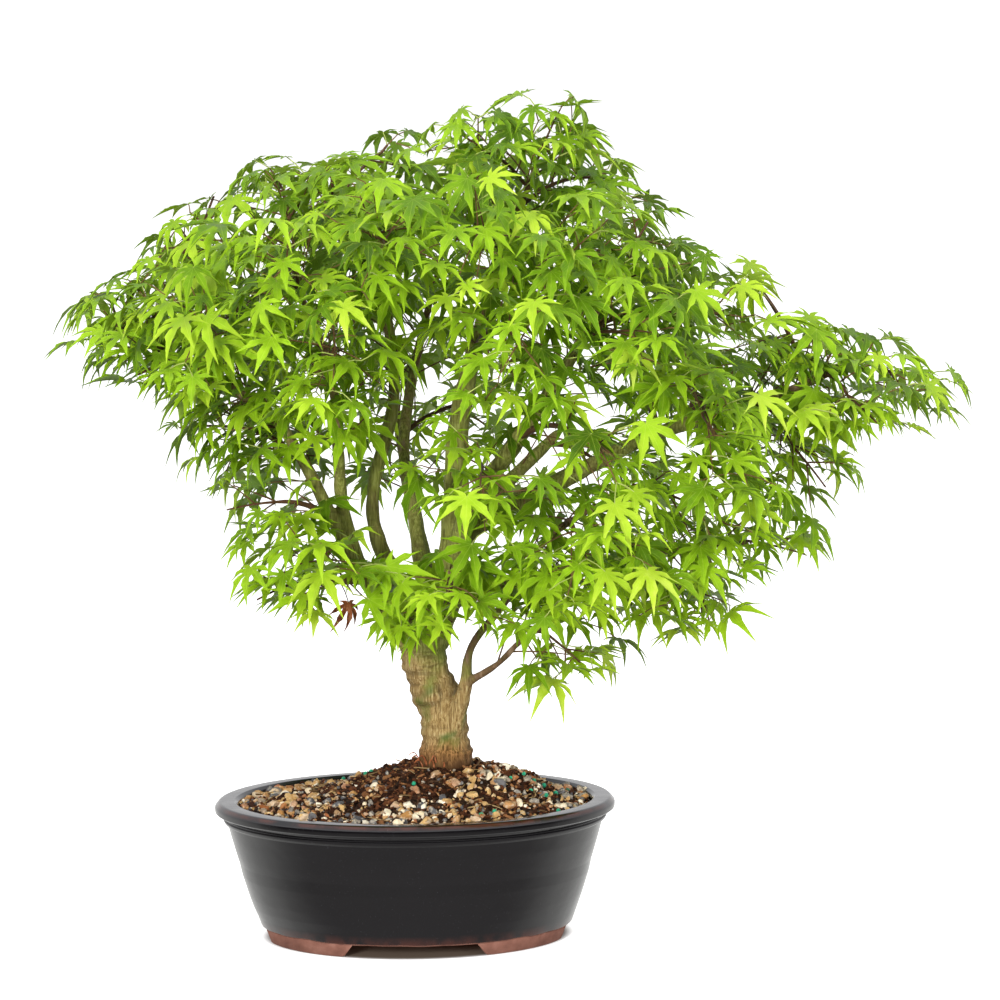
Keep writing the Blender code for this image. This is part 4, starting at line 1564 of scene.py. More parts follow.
@dataclass
class SoilBed:
    """The mound of compost with its dressing of grit, bark, beads and fibres."""

    finishes: Finishes
    growths: Growths
    rings: int = 110
    steps: int = 300
    edge_radius: float = 133.0

    def build(self) -> None:
        """Build the bed, then scatter each kind of grain over it."""
        bed = self._bed()
        stones = self._sources("stone", [pebble(20 + k, 2, 0.72, 14.0) for k in range(6)])
        grains = self._sources("grain", [pebble(40 + k, 1, 0.8) for k in range(6)])
        chips = self._sources("chip", [chip(60 + k) for k in range(6)])
        beads = self._sources("bead", [bead(80 + k) for k in range(6)])
        fibres = self._sources("fibre", [fibre(90 + k) for k in range(6)])
        plan = (
            ("grit_large", stones, Grain.STONE, 13500, (4.4, 11.0), -0.12, 0.9),
            ("grit_small", grains, Grain.STONE, 38000, (2.0, 5.2), -0.1, 0.9),
            ("bark_chips", chips, Grain.CHIP, 58000, (3.4, 8.6), 0.0, 0.7),
            ("bark_crumbs", grains, Grain.CHIP, 70000, (1.6, 4.2), -0.1, 0.9),
            ("fertiliser_beads", beads, Grain.BEAD, 1000, (3.2, 4.0), -0.60, 0.3),
            ("root_fibres", fibres, Grain.FIBRE, 3200, (8.0, 22.0), -0.08, 0.25),
        )
        for salt, (name, sources, grain, density, (low, high), sink, tilt) in enumerate(plan, start=1):
            item = add_mesh_object(name, self._cover(bed, grain))
            self.growths.scatter.run(
                item, Grains=sources, Material=self.finishes.grains[grain], Density=float(density),
                Seed=salt * 11, Smallest=low * MM, Largest=high * MM, Sink=sink, Tilt=tilt)
            finish_piece(item)
            LOG.info("%s: %d faces", name, len(item.data.polygons))
        self._stones()

    def _bed(self) -> bpy.types.Object:
        """Build the closed body of soil under the dressing."""
        shape = bmesh.new()
        rings = []
        for ring in range(1, self.rings + 1):
            r = self.edge_radius * (ring / self.rings) ** 0.9
            rings.append(self._ring(shape, r, None))
        for r, z in ((127.4, 80), (122.5, 55), (111, 24), (99, 17.8)):
            rings.append(self._ring(shape, r, z))
        for first, second in zip(rings, rings[1:]):
            for k in range(self.steps):
                j = (k + 1) % self.steps
                shape.faces.new((first[k], second[k], second[j], first[j]))
        shape.faces.new(rings[0])
        shape.faces.new(reversed(rings[-1]))
        bmesh.ops.recalc_face_normals(shape, faces=shape.faces)
        for face in shape.faces:
            face.smooth = True
        bed = add_mesh_object("soil_bed", mesh_from_shape("soil_bed", shape))
        bed.data.materials.append(self.finishes.soil)
        finish_piece(bed, ["soil"])
        return bed

    def _ring(self, shape: bmesh.types.BMesh, r: float, z: float | None) -> list[bmesh.types.BMVert]:
        """Add a ring of points, on the mound's surface where no height is given."""
        ring = []
        for k in range(self.steps):
            turn = math.tau * k / self.steps
            x, y = r * math.cos(turn), r * SITE.oval * math.sin(turn)
            height = z
            if z is None:
                place = Vector((x, y, 0.0))
                lumps = (2.6 * noise.noise(place / 17.0) + 1.3 * noise.noise(place / 6.0)
                         + 0.8 * noise.noise(place / 2.4))
                height = (soil_height(x, y) - 1.4
                          + lumps * min(1.0, 12.0 * (1.0 - r / self.edge_radius) + 0.35))
            ring.append(shape.verts.new(SITE.place(x, y, height)))
        return ring

    def _cover(self, bed: bpy.types.Object, grain: Grain) -> bpy.types.Mesh:
        """Copy the bed's mesh, with a cover value that says where a kind of grain lies."""
        mesh = bed.data.copy()
        mesh.materials.clear()
        places = (points_of(mesh) - np.array(SITE.middle)) / MM
        reach = np.hypot(places[:, 0], places[:, 1] / SITE.oval)
        trunk = np.hypot(places[:, 0] - 24.0, places[:, 1])
        patches = np.array([noise.noise(Vector(place) / 24.0) for place in places])
        on_top = (places[:, 2] > 95.0) & (trunk > 21.0)
        stony = np.clip((reach - 25.0) / 70.0, 0.12, 1.0) * np.clip(1.0 + 0.9 * patches, 0.4, 1.5)
        woody = np.clip(1.45 - reach / 120.0, 0.42, 1.2) * np.clip(1.0 - 1.2 * patches, 0.4, 1.8)
        right = np.clip((places[:, 0] - 20.0) / 60.0, 0.0, 1.0)
        cover = {Grain.STONE: stony, Grain.CHIP: woody, Grain.BEAD: 0.25 + right, Grain.FIBRE: woody}[grain]
        store(mesh, "cover", cover * on_top)
        return mesh

    @staticmethod
    def _sources(name: str, shapes: Sequence[bmesh.types.BMesh]) -> bpy.types.Collection:
        """Keep the grains' shapes in a collection that the scene doesn't show."""
        holder = bpy.data.collections.new(name + "_shapes")
        for k, shape in enumerate(shapes):
            holder.objects.link(
                add_mesh_object(f"{name}_shape_{k}", mesh_from_shape(name, shape), visible=False))
        return holder

    def _stones(self) -> None:
        """Build each loose stone of the frame with a finer, broken surface."""
        nodes = sorted(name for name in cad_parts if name.startswith("stone_"))
        for number, node in enumerate(nodes, start=1):
            low, high = (Vector(corner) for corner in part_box(node))
            size = high - low
            shape = pebble(number, 3, 1.0)
            shape.transform(Matrix.Diagonal((size.x * 1.1, size.y * 1.1, size.z * 1.25, 1.0)))
            shape.transform(Matrix.Translation((low + high) / 2 - UP * 0.8 * MM))
            item = add_mesh_object("loose_" + node, mesh_from_shape(node, shape))
            tint = STONE_TINTS[number % len(STONE_TINTS)]
            store(item.data, "tint", np.full(len(item.data.vertices), tint))
            item.data.shade_smooth()
            item.data.materials.append(self.finishes.grains[Grain.STONE])
            finish_piece(item, [node])


# Wood -----------------------------------------------------------------------------------------------


def smooth_route(points: Sequence[Sequence[float]], parts_each: int) -> list[Vector]:
    """Draw a smooth route through points of (x, y, z, radius).

    Args:
        points: The points.
        parts_each: How many parts each stretch gets.

    Returns:
        The route's points.
    """
    ends = [points[0], *points, points[-1]]
    route = []
    for k in range(1, len(ends) - 2):
        p0, p1, p2, p3 = (Vector(ends[k + j]) for j in (-1, 0, 1, 2))
        for step in range(parts_each):
            t = step / parts_each
            bend = (p2 - p0) * t + (2 * p0 - 5 * p1 + 4 * p2 - p3) * t * t
            bend += (3 * p1 - p0 - 3 * p2 + p3) * t * t * t
            route.append(p1 + bend / 2)
    route.append(Vector(ends[-1]))
    return route


def branch_route(limb: Sequence[Vector], goal: Vector) -> tuple[Vector, list[Vector]]:
    """Lead a branch from the fit place on its limb to short of its shoot's middle.

    Args:
        limb: The limb's route, in millimetres.
        goal: The shoot's middle.

    Returns:
        The limb's point that the branch leaves, and the branch's points of (x, y, z, radius).
    """
    def cost(place: Vector) -> float:
        """Return how dear it is to leave the limb at a place: its distance, and more where it must drop."""
        towards = goal - place.xyz
        return towards.length + max(0.0, 30.0 - towards.z) * 0.8

    start = min(limb[len(limb) // 4:-1], key=cost)
    towards = goal - start.xyz
    length = max(8.0, towards.length - TWIG_LENGTH / MM * 0.55)
    end = start.xyz + towards.normalized() * length
    first_radius = min(0.62 * start.w, 3.2)
    last_radius = TWIG_RADIUS / MM
    inner = start.xyz - towards.normalized() * 0.3 * start.w
    route = [Vector((*inner, first_radius))]
    for share in (0.36, 0.70):
        place = inner.lerp(end, share) + UP * 0.10 * length * math.sin(math.pi * share)
        route.append(Vector((*place, first_radius + (last_radius - first_radius) * share)))
    route.append(Vector((*end, last_radius)))
    return start, route


@dataclass
class Routes:
    """A mesh of edges that the tube tree turns into wood, twigs or stalks."""

    points: list[Vector] = field(default_factory=list)
    edges: list[tuple[int, int]] = field(default_factory=list)
    girths: list[float] = field(default_factory=list)
    tints: list[float] = field(default_factory=list)

    def add(self, route: Sequence[tuple[Vector, float, float]]) -> None:
        """Add one route.

        Args:
            route: Each point's place, girth and tint.
        """
        first = len(self.points)
        for place, girth, tint in route:
            self.points.append(place)
            self.girths.append(girth)
            self.tints.append(tint)
        self.edges.extend((k, k + 1) for k in range(first, len(self.points) - 1))

    def mesh(self, name: str) -> bpy.types.Mesh:
        """Return the routes as a mesh.

        Args:
            name: The mesh's name.

        Returns:
            The mesh.
        """
        mesh = bpy.data.meshes.new(name)
        mesh.from_pydata([tuple(place) for place in self.points], self.edges, [])
        store(mesh, "girth", np.array(self.girths))
        store(mesh, "tint", np.array(self.tints))
        return mesh


@dataclass
class ShootPlan:
    """Where one leafy shoot grows.

    Attributes:
        number: The shoot's number, which is its node's.
        branch: The points of thin wood that lead out to the shoot's base.
        middle: The shoot's middle.
    """

    number: int
    branch: list[Vector]
    middle: Vector


@dataclass
class Wood:
    """The trunk, the limbs and the branches.

    Attributes:
        finishes: The materials.
        growths: The Geometry Nodes trees.
        voxel: The size of the cells that melt trunk and limbs together.
    """

    finishes: Finishes
    growths: Growths
    voxel: float = 1.15 * MM

    def build(self) -> list[ShootPlan]:
        """Build the wood.

        Returns:
            The place of each shoot.
        """
        limbs = {name: smooth_route(points, 6) for name, points in LIMBS_MM.items()}
        routes, branches = Routes(), Routes()
        routes.add([self._point(p, k) for k, p in enumerate(smooth_route(TRUNK_MM, 8))])
        plans = []
        for name, limb in limbs.items():
            last = 0
            for middle in SHOOTS_MM[name]:
                start, route = branch_route(limb, Vector(middle))
                last = max(last, limb.index(start))
                points = [self._point(p, k, 0.25) for k, p in enumerate(smooth_route(route, 5))]
                while len(points) > 4 and not self._covered(points[-1][0]):
                    points.pop()
                branches.add(points)
                thin = [SITE.place(*p.xyz) for p in limb[:limb.index(start)] if p.w < 5.5]
                wood = [*thin, *(place for place, _, _ in points)]
                plans.append(ShootPlan(len(plans) + 1, wood, SITE.place(*middle)))
            points = [self._point(p, k) for k, p in enumerate(limb[:last + 3])]
            while not self._covered(points[-1][0]):
                points.pop()
            routes.add([*points[:-1], (points[-1][0], 0.9 * MM, 0.1)])
        self._heartwood(routes)
        self._curls()
        item = add_mesh_object("branches", branches.mesh("branches"))
        self.growths.tubes.run(item, Material=self.finishes.stalk, Sides=10)
        finish_piece(item)
        LOG.info("wood with %d branches", len(plans))
        return plans

    @staticmethod
    def _covered(place: Vector) -> bool:
        """Tell whether leaves around a branch's end could hide it."""
        return Outline.holds(*(place + Vector(shift) * MM for shift in ((0, 0, 24), (14, 0, 0), (-14, 0, 0))))

    @staticmethod
    def _point(place: Vector, k: int, tint: float = 0.1) -> tuple[Vector, float, float]:
        """Turn a planned point into the frame's metres, with the girth made a little uneven."""
        uneven = 1.0 + 0.05 * math.sin(k * 1.7) + 0.04 * math.sin(k * 0.61 + 1.0)
        return SITE.place(*place.xyz), place.w * uneven * MM, tint

    def _heartwood(self, routes: Routes) -> None:
        """Melt the trunk and limbs into one body, and give it bark."""
        item = add_mesh_object("trunk_and_limbs", routes.mesh("limbs"))
        self.growths.tubes.run(item, Material=self.finishes.bark, Sides=20)
        remesh = item.modifiers.new("Melt", "REMESH")
        remesh.mode = "VOXEL"
        remesh.voxel_size = self.voxel * 1.0
        remesh.use_smooth_shade = True
        smooth = item.modifiers.new("Soften", "SMOOTH")
        smooth.factor = 0.5
        smooth.iterations = 6
        settle(item)
        self._relief(item.data, routes)
        thinner = item.modifiers.new("Thin out", "DECIMATE")
        thinner.ratio = min(1.0, 185_000 / (2 * len(item.data.polygons)))
        settle(item)
        item.data.materials.clear()
        item.data.materials.append(self.finishes.bark)
        item.data.shade_smooth()
        finish_piece(item, ["trunk_and_branches"])
        LOG.info("trunk and limbs: %d faces", len(item.data.polygons))

    def _relief(self, mesh: bpy.types.Mesh, routes: Routes) -> None:
        """Push bark furrows, knots and root flares into the surface, and store what the bark needs."""
        tree = kdtree.KDTree(len(routes.points))
        for k, place in enumerate(routes.points):
            tree.insert(place, k)
        tree.balance()
        height, thin, foot, algae = (np.zeros(len(mesh.vertices)) for _ in range(4))
        normals = [vertex.normal.copy() for vertex in mesh.vertices]
        for k, vertex in enumerate(mesh.vertices):
            near = tree.find(vertex.co)[1]
            girth = routes.girths[near] / MM
            local = (vertex.co - SITE.middle) / MM
            strong = min(1.0, girth / 14.0)
            furrow = noise.noise(Vector((local.x / 2.4, local.y / 2.4, local.z / 26.0)))
            knots = noise.noise(Vector((local.x / 11.0, local.y / 11.0, local.z / 14.0)))
            rings = math.sin(local.z / 5.5 + 2.0 * knots) * 0.13
            push = strong * (0.34 * furrow + 1.1 * knots + rings)
            low = max(0.0, 1.0 - (local.z - 126.0) / 22.0)
            if low > 0:
                turn = math.atan2(local.y, local.x - 24.0)
                push += 1.5 * low ** 2 * (0.2 + max(0.0, math.sin(turn * 4.0 + 0.6)))
            vertex.co += normals[k] * push * MM
            height[k] = min(1.0, max(0.0, (local.z - 165.0) / 90.0))
            thin[k] = min(1.0, max(0.0, (7.5 - girth) / 6.0))
            foot[k] = min(1.2, max(0.0, (158.0 - local.z) / 24.0))
            if local.y < 0.0 and 130.0 < local.z < 215.0:
                algae[k] = max(0.0, 1.0 - self._stroke_distance(local) / 4.2)
        store(mesh, "height", height)
        store(mesh, "thin", thin)
        store(mesh, "foot", foot)
        store(mesh, "algae", algae)

    def _curls(self) -> None:
        """Peel a few curls of dry bark off the left of the trunk's foot."""
        shape = bmesh.new()
        chance = random.Random(7)
        for k in range(7):
            turn = math.radians(188 + 13 * k + chance.uniform(-5, 5))
            away = Vector((math.cos(turn), math.sin(turn), 0.0))
            side = Vector((-away.y, away.x, chance.uniform(-0.6, 0.6)))
            length, width = chance.uniform(8, 15), chance.uniform(1.2, 2.4)
            base = Vector((24, 0, chance.uniform(129, 137))) + away * 20.5
            rows = []
            for t in (0.0, 0.2, 0.4, 0.6, 0.8, 1.0):
                middle = base + away * length * 0.6 * t ** 1.3 + UP * length * 0.55 * math.sin(2.4 * t)
                edge = side * width * (0.55 - 0.4 * t)
                rows.append([shape.verts.new(SITE.place(*(middle + edge * way))) for way in (-1, 1)])
            for (a, b), (d, c) in zip(rows, rows[1:]):
                shape.faces.new((a, b, c, d))
        item = add_mesh_object("bark_curls", mesh_from_shape("bark_curls", shape))
        thicken = item.modifiers.new("Thickness", "SOLIDIFY")
        thicken.thickness = 0.5 * MM
        settle(item)
        item.data.shade_smooth()
        item.data.materials.append(self.finishes.withered)
        finish_piece(item)

    @staticmethod
    def _stroke_distance(place: Vector) -> float:
        """Return the distance from a place to the nearest stroke of algae, all in millimetres."""
        nearest = 99.0
        for stroke in ALGAE_MM:
            for first, second in zip(stroke, stroke[1:]):
                start, along = Vector(first), Vector(second) - Vector(first)
                share = min(1.0, max(0.0, (place - start).dot(along) / along.length_squared))
                nearest = min(nearest, (place - start - along * share).length)
        return nearest


# Leaves ---------------------------------------------------------------------------------------------


@dataclass(frozen=True)
class LeafShape:
    """One shape of palmate leaf, with its stalk's joint at the origin and its tip along +X.

    Attributes:
        droop: How far the lobes hang, as a share of the blade's length.
        fold: How far each lobe's edges stand above its midrib.
        cup: How far the side lobes are lifted or lowered.
        seed: The seed of its small differences.
    """

    droop: float
    fold: float
    cup: float
    seed: int

    LOBES = ((0, 1.0, 4), (38, 0.90, 4), (76, 0.68, 3), (120, 0.36, 1))
    WIDTHS = {4: ((0.37, 0.088), (0.47, 0.108), (0.60, 0.068), (0.70, 0.040)),
              3: ((0.40, 0.090), (0.50, 0.102), (0.68, 0.036)),
              1: ((0.54, 0.092),)}

    def mesh(self, blade: float) -> bpy.types.Mesh:
        """Build the blade.

        Args:
            blade: The middle lobe's length.

        Returns:
            The mesh, with how far across and along its lobe each corner is as its UV.
        """
        chance = random.Random(self.seed)
        lobes = [(-angle, share, n) for angle, share, n in reversed(self.LOBES[1:])] + list(self.LOBES)
        lobes = [(angle + chance.gauss(0, 2.0), share * chance.uniform(0.94, 1.05), n)
                 for angle, share, n in lobes]
        shape = bmesh.new()
        uv = shape.loops.layers.uv.new("UVMap")
        centre = shape.verts.new((0, 0, 0))
        borders = [lobes[0][0] - 34] + [
            (a[0] + b[0]) / 2 for a, b in zip(lobes, lobes[1:])] + [lobes[-1][0] + 34]
        depths = [0.10] + [0.23 * (a[1] + b[1]) / 2 + 0.02 for a, b in zip(lobes, lobes[1:])] + [0.10]
        sinuses = [self._vertex(shape, angle, depth, 0.0, blade, 0.0)
                   for angle, depth in zip(borders, depths)]
        for k, (angle, share, count) in enumerate(lobes):
            bend = chance.gauss(0, 0.05)
            sag = self.droop * chance.uniform(0.75, 1.3)
            middle = self._vertex(shape, angle, 0.20 * share, 0.0, blade, sag)
            rows = [(sinuses[k], middle, sinuses[k + 1])]
            self._face(shape, uv, ((centre, 0.5, 0.0), (sinuses[k], 0.0, 0.2), (middle, 0.5, 0.2)))
            self._face(shape, uv, ((centre, 0.5, 0.0), (middle, 0.5, 0.2), (sinuses[k + 1], 1.0, 0.2)))
            for step, (t, width) in enumerate(self.WIDTHS[count]):
                tooth = 0.050 if step % 2 else -0.010
                swing = angle + math.degrees(bend) * t
                rows.append(tuple(
                    self._vertex(
                        shape, swing, (t + tooth * abs(side)) * share, side * width * share, blade, sag)
                    for side in (-1, 0, 1)))
            stations = [0.2, *(t for t, _ in self.WIDTHS[count])]
            for row, after, v0, v1 in zip(rows, rows[1:], stations, stations[1:]):
                self._face(shape, uv, (
                    (row[0], 0.0, v0), (after[0], 0.0, v1), (after[1], 0.5, v1), (row[1], 0.5, v0)))
                self._face(shape, uv, (
                    (row[1], 0.5, v0), (after[1], 0.5, v1), (after[2], 1.0, v1), (row[2], 1.0, v0)))
            tip = self._vertex(shape, angle + math.degrees(bend), share, 0.0, blade, sag)
            last = rows[-1]
            self._face(shape, uv, ((last[0], 0.0, 0.9), (tip, 0.5, 1.0), (last[1], 0.5, 0.9)))
            self._face(shape, uv, ((last[1], 0.5, 0.9), (tip, 0.5, 1.0), (last[2], 1.0, 0.9)))
        mesh = mesh_from_shape("leaf_shape", shape)
        mesh.shade_smooth()
        return mesh

    def _vertex(self, shape: bmesh.types.BMesh, angle: float, reach: float, side: float, blade: float,
                sag: float) -> bmesh.types.BMVert:
        """Add a point of a lobe, at a reach along it and a distance to its side."""
        turn = math.radians(angle)
        along, across = Vector((math.cos(turn), math.sin(turn))), Vector((-math.sin(turn), math.cos(turn)))
        flat = (along * reach + across * side) * blade
        lift = self.cup * reach * abs(math.sin(turn)) + self.fold * abs(side)
        drop = sag * reach ** 2.2
        shorter = 1.0 - 0.25 * sag * reach ** 2
        return shape.verts.new((flat.x * shorter, flat.y * shorter, (lift - drop) * blade))

    @staticmethod
    def _face(shape: bmesh.types.BMesh, uv: bmesh.types.BMLayerItem,
              corners: Sequence[tuple[bmesh.types.BMVert, float, float]]) -> None:
        """Add a face with its UVs."""
        face = shape.faces.new([vertex for vertex, _, _ in corners])
        for loop, (_, u, v) in zip(face.loops, corners):
            loop[uv].uv = (u, v)


LEAF_SHAPES = (
    LeafShape(0.18, 0.65, -0.02, 1), LeafShape(0.28, 0.80, -0.10, 2), LeafShape(0.10, 0.55, 0.08, 3),
    LeafShape(0.42, 0.75, -0.18, 4), LeafShape(0.24, 0.50, -0.24, 5),
)


@dataclass
class LeafSet:
    """The leaves of one shoot, as points that the leaf tree reads."""

    places: list[Vector] = field(default_factory=list)
    turns: list[Vector] = field(default_factory=list)
    sizes: list[float] = field(default_factory=list)
    kinds: list[int] = field(default_factory=list)
    tints: list[float] = field(default_factory=list)

    def add(self, place: Vector, tip: Vector, face: Vector, size: float, kind: int, tint: float) -> None:
        """Add one leaf.

        Args:
            place: Its stalk's joint.
            tip: The direction of its middle lobe.
            face: The direction that its upper face turns to, about.
            size: Its size as a share of the usual.
            kind: The number of its shape.
            tint: Its colour, from deep green at 0 to lime at 1, deeper towards the crown's middle as painted
                shade.
        """
        along = tip.normalized()
        across = face.cross(along).normalized()
        turn = Matrix((along, across, along.cross(across))).transposed()
        self.places.append(place)
        self.turns.append(Vector(turn.to_euler()))
        self.sizes.append(size)
        self.kinds.append(kind)
        self.tints.append(tint)

    def mesh(self, name: str) -> bpy.types.Mesh:
        """Return the leaves as a mesh of loose points.

        Args:
            name: The mesh's name.

        Returns:
            The mesh.
        """
        mesh = bpy.data.meshes.new(name)
        mesh.from_pydata([tuple(place) for place in self.places], [], [])
        store(mesh, "turn", np.array([tuple(turn) for turn in self.turns]), "FLOAT_VECTOR")
        store(mesh, "size", np.array(self.sizes))
        store(mesh, "kind", np.array(self.kinds), "INT")
        store(mesh, "tint", np.array(self.tints))
        return mesh


class Outline:
    """The crown's outline and the spacing of its leaves, which every new leaf is tested against."""

    def __init__(self, spacing: float) -> None:
        """Start with no leaves.

        Args:
            spacing: The least distance between the middles of two leaves.
        """
        self.spacing = spacing
        self.cells: dict[tuple[int, int, int], list[Vector]] = {}

    @classmethod
    def holds(cls, *places: Vector) -> bool:
        """Tell whether places are inside the outline as it is seen from the front.

        Args:
            places: The places.

        Returns:
            Whether all of them are.
        """
        for place in places:
            x, z = cls.seen(place)
            if not cls._level(CROWN_UNDERSIDE_MM, x) < z < cls._level(CROWN_TOP_MM, x):
                return False
        return True

    @staticmethod
    def seen(place: Vector) -> tuple[float, float]:
        """Return where a place shows in the plane of the pot's middle, as (x, z) in millimetres."""
        local = (place - SITE.middle) / MM
        nearness = VIEW_DISTANCE / (VIEW_DISTANCE + local.y * MM)
        aside, height = VIEW_ASIDE / MM, VIEW_HEIGHT / MM
        return aside + (local.x - aside) * nearness, height + (local.z - height) * nearness

    def kept(self, place: Vector) -> float:
        """Return the share of the leaves to keep at a place, which is less where the limbs show."""
        x, z = self.seen(place)
        return min((keep for middle_x, middle_z, width, height, keep in GAPS_MM
                    if math.hypot((x - middle_x) / width, (z - middle_z) / height) < 1.0), default=1.0)

    def takes(self, middle: Vector, *ends: Vector) -> bool:
        """Tell whether a leaf fits, and remember it if it does.

        Args:
            middle: The leaf's middle.
            ends: The ends of its stalk and of its longest lobes.

        Returns:
            Whether it is inside the outline and clear of the other leaves' middles.
        """
        if not self.holds(*ends):
            return False
        key = tuple(math.floor(v / self.spacing) for v in middle)
        steps = (-1, 0, 1)
        for cell in ((key[0] + i, key[1] + j, key[2] + k) for i in steps for j in steps for k in steps):
            if any((other - middle).length < self.spacing for other in self.cells.get(cell, ())):
                return False
        self.cells.setdefault(key, []).append(middle)
        return True

    @staticmethod
    def _level(outline: Sequence[tuple[float, float]], x: float) -> float:
        """Return an outline's height at a distance to the side; beyond its ends, a height that none meets."""
        xs, zs = zip(*outline)
        if not xs[0] < x < xs[-1]:
            return math.nan
        return float(np.interp(x, xs, zs))


# A spray's random numbers start at this plus its shoot's number.
SPRAY_SEED = 500

# How far back along its branch a spray has side twigs.
SPRAY_REACH = 190 * MM

# The least way along a branch between two pairs of side twigs.
PAIR_GAP = 17 * MM

# How far every other pair turns round its branch, in radians, and the scatter.
PAIR_TURNS = (0.35, 1.75)
TURN_SCATTER = 0.35

# Under this length, a level direction to the side is too short to go by.
LEAST_SIDE = 0.2

# A side twig over this length has a third pair of leaves.
LONG_TWIG = 36 * MM

# How far a twig bends down at its end, as a share of its length.
TWIG_DROOP = 0.10

# A leaf's usual size, its scatter and its limits, as shares of the blade's length.
LEAF_SIZE = 0.90
LEAF_SIZE_SCATTER = 0.15
LEAST_LEAF = 0.5
LARGEST_LEAF = 1.15

# The palest tint of a leaf, from 0 to 1.
PALEST_TINT = 0.74

# A leaf stalk's radius along it and at its foot.
STALK_RADIUS = 0.45 * MM
STALK_FOOT_RADIUS = 0.55 * MM

# The share of stalks that are red, and the tints of a red one and a green one.
RED_STALK_SHARE = 0.35
RED_STALK = 0.45
GREEN_STALK = 0.86


@dataclass
class Crown:
    """All the leafy shoots.

    Attributes:
        finishes: The materials.
        growths: The Geometry Nodes trees.
        blade: The usual length of a leaf's middle lobe.
        stalk: The usual length of a leaf's stalk.
        outline: The test that every leaf passes.
    """

    finishes: Finishes
    growths: Growths
    blade: float = 39 * MM
    stalk: float = 20 * MM
    outline: Outline = field(default_factory=lambda: Outline(17.2 * MM))

    def build(self, plans: Sequence[ShootPlan]) -> None:
        """Grow a spray of leaves at each shoot's place.

        Args:
            plans: The shoots.
        """
        shapes = bpy.data.collections.new("leaf_shapes")
        for k, shape in enumerate(LEAF_SHAPES):
            shapes.objects.link(add_mesh_object(f"leaf_shape_{k}", shape.mesh(self.blade), visible=False))
        total = 0
        for plan in plans:
            node = f"shoot_{plan.number:02d}"
            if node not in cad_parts:
                continue
            twigs, leaves = self._spray(plan)
            blades = add_mesh_object(node + "_leaves", leaves.mesh(node))
            self.growths.leaves.run(blades, Leaves=shapes, Material=self.finishes.leaf)
            finish_piece(blades, [node])
            stems = add_mesh_object(node + "_stalks", twigs.mesh(node))
            self.growths.tubes.run(stems, Material=self.finishes.stalk, Sides=5)
            finish_piece(stems)
            total += len(leaves.places)
        self._withered(plans)
        LOG.info("crown of %d leaves", total)

    def _withered(self, plans: Sequence[ShootPlan]) -> None:
        """Hang one dried-up leaf under the left of the crown, on a stalk from the nearest branch."""
        joint = SITE.place(*WITHERED_MM)
        knot = min((place for plan in plans for place in plan.branch),
                   key=lambda place: (place - joint).length)
        stalk = Routes()
        stalk.add([
            (knot, 0.5 * MM, 0.4), (knot.lerp(joint, 0.6) + UP * 2 * MM, 0.45 * MM, 0.4),
            (joint, 0.4 * MM, 0.4)])
        stem = add_mesh_object("withered_stalk", stalk.mesh("withered_stalk"))
        self.growths.tubes.run(stem, Material=self.finishes.stalk, Sides=5)
        finish_piece(stem)
        mesh = LeafShape(1.3, 1.1, -0.8, 9).mesh(self.blade * 0.62)
        along, face = Vector((0.15, -0.35, -0.92)).normalized(), Vector((0.25, -0.9, 0.3))
        across = face.cross(along).normalized()
        mesh.transform(
            Matrix.Translation(joint)
            @ Matrix((along, across, along.cross(across))).transposed().to_4x4())
        item = add_mesh_object("withered_leaf", mesh)
        item.data.materials.append(self.finishes.withered)
        finish_piece(item)

    def _spray(self, plan: ShootPlan) -> tuple[Routes, LeafSet]:
        """Grow one spray: side twigs in pairs along the branch's end and its main twig, and their leaves."""
        chance = random.Random(SPRAY_SEED + plan.number)
        twigs, leaves = Routes(), LeafSet()
        outward = (plan.middle - SITE.place(*CROWN_MIDDLE_MM)).normalized()
        outward = (outward + Vector((0.0, -0.20, 0.10))).normalized()
        onward = (plan.branch[-1] - plan.branch[-3]).normalized()
        heading = (onward + 0.35 * outward).normalized()
        main = self._twig(twigs, plan.branch[-1], heading, TWIG_LENGTH * 1.1, TWIG_RADIUS, 0.30)
        self._leaf_pair(chance, twigs, leaves, main[-1], heading, outward, 0.8)
        axis = [*plan.branch[1:-1], *main]
        reach = 0.0
        gap = 0.0
        pairs = 0
        for after, knot in zip(reversed(axis[1:]), reversed(axis[:-1])):
            reach += (after - knot).length
            gap += (after - knot).length
            if reach > SPRAY_REACH:
                break
            if gap < PAIR_GAP:
                continue
            gap = 0.0
            pairs += 1
            along = (after - knot).normalized()
            side = along.cross(UP)
            side = side.normalized() if side.length > LEAST_SIDE else outward.cross(along).normalized()
            rise = side.cross(along).normalized()
            turn = PAIR_TURNS[pairs % 2] + chance.gauss(0.0, TURN_SCATTER)
            spread = side * math.cos(turn) + rise * math.sin(turn)
            length = (26 + 26 * math.sin(min(1.0, reach / (120 * MM)) * 2.4)) * MM
            for way in (-1, 1):
                lean = (spread * way + along * 0.6 + outward * 0.35 + 0.22 * _scatter(chance)).normalized()
                self._side_twig(
                    chance, twigs, leaves, knot, lean, length * chance.uniform(0.75, 1.2), outward)
        return twigs, leaves

    def _side_twig(self, chance: random.Random, twigs: Routes, leaves: LeafSet, knot: Vector, lean: Vector,
                   length: float, outward: Vector) -> None:
        """Grow a side twig with a pair of leaves at its end, and others back along it if it is long."""
        points = self._twig_points(knot, lean, length)
        last = 0
        for step in (6, 4, 2) if length > LONG_TWIG else (6, 3):
            ahead = 0.9 if step == 6 else 0.35
            if self._leaf_pair(chance, twigs, leaves, points[step], lean, outward, ahead):
                last = max(last, step)
        if last:
            twigs.add([(place, (0.75 - 0.05 * k) * MM, 0.36 + 0.025 * k)
                       for k, place in enumerate(points[:last + 1])])

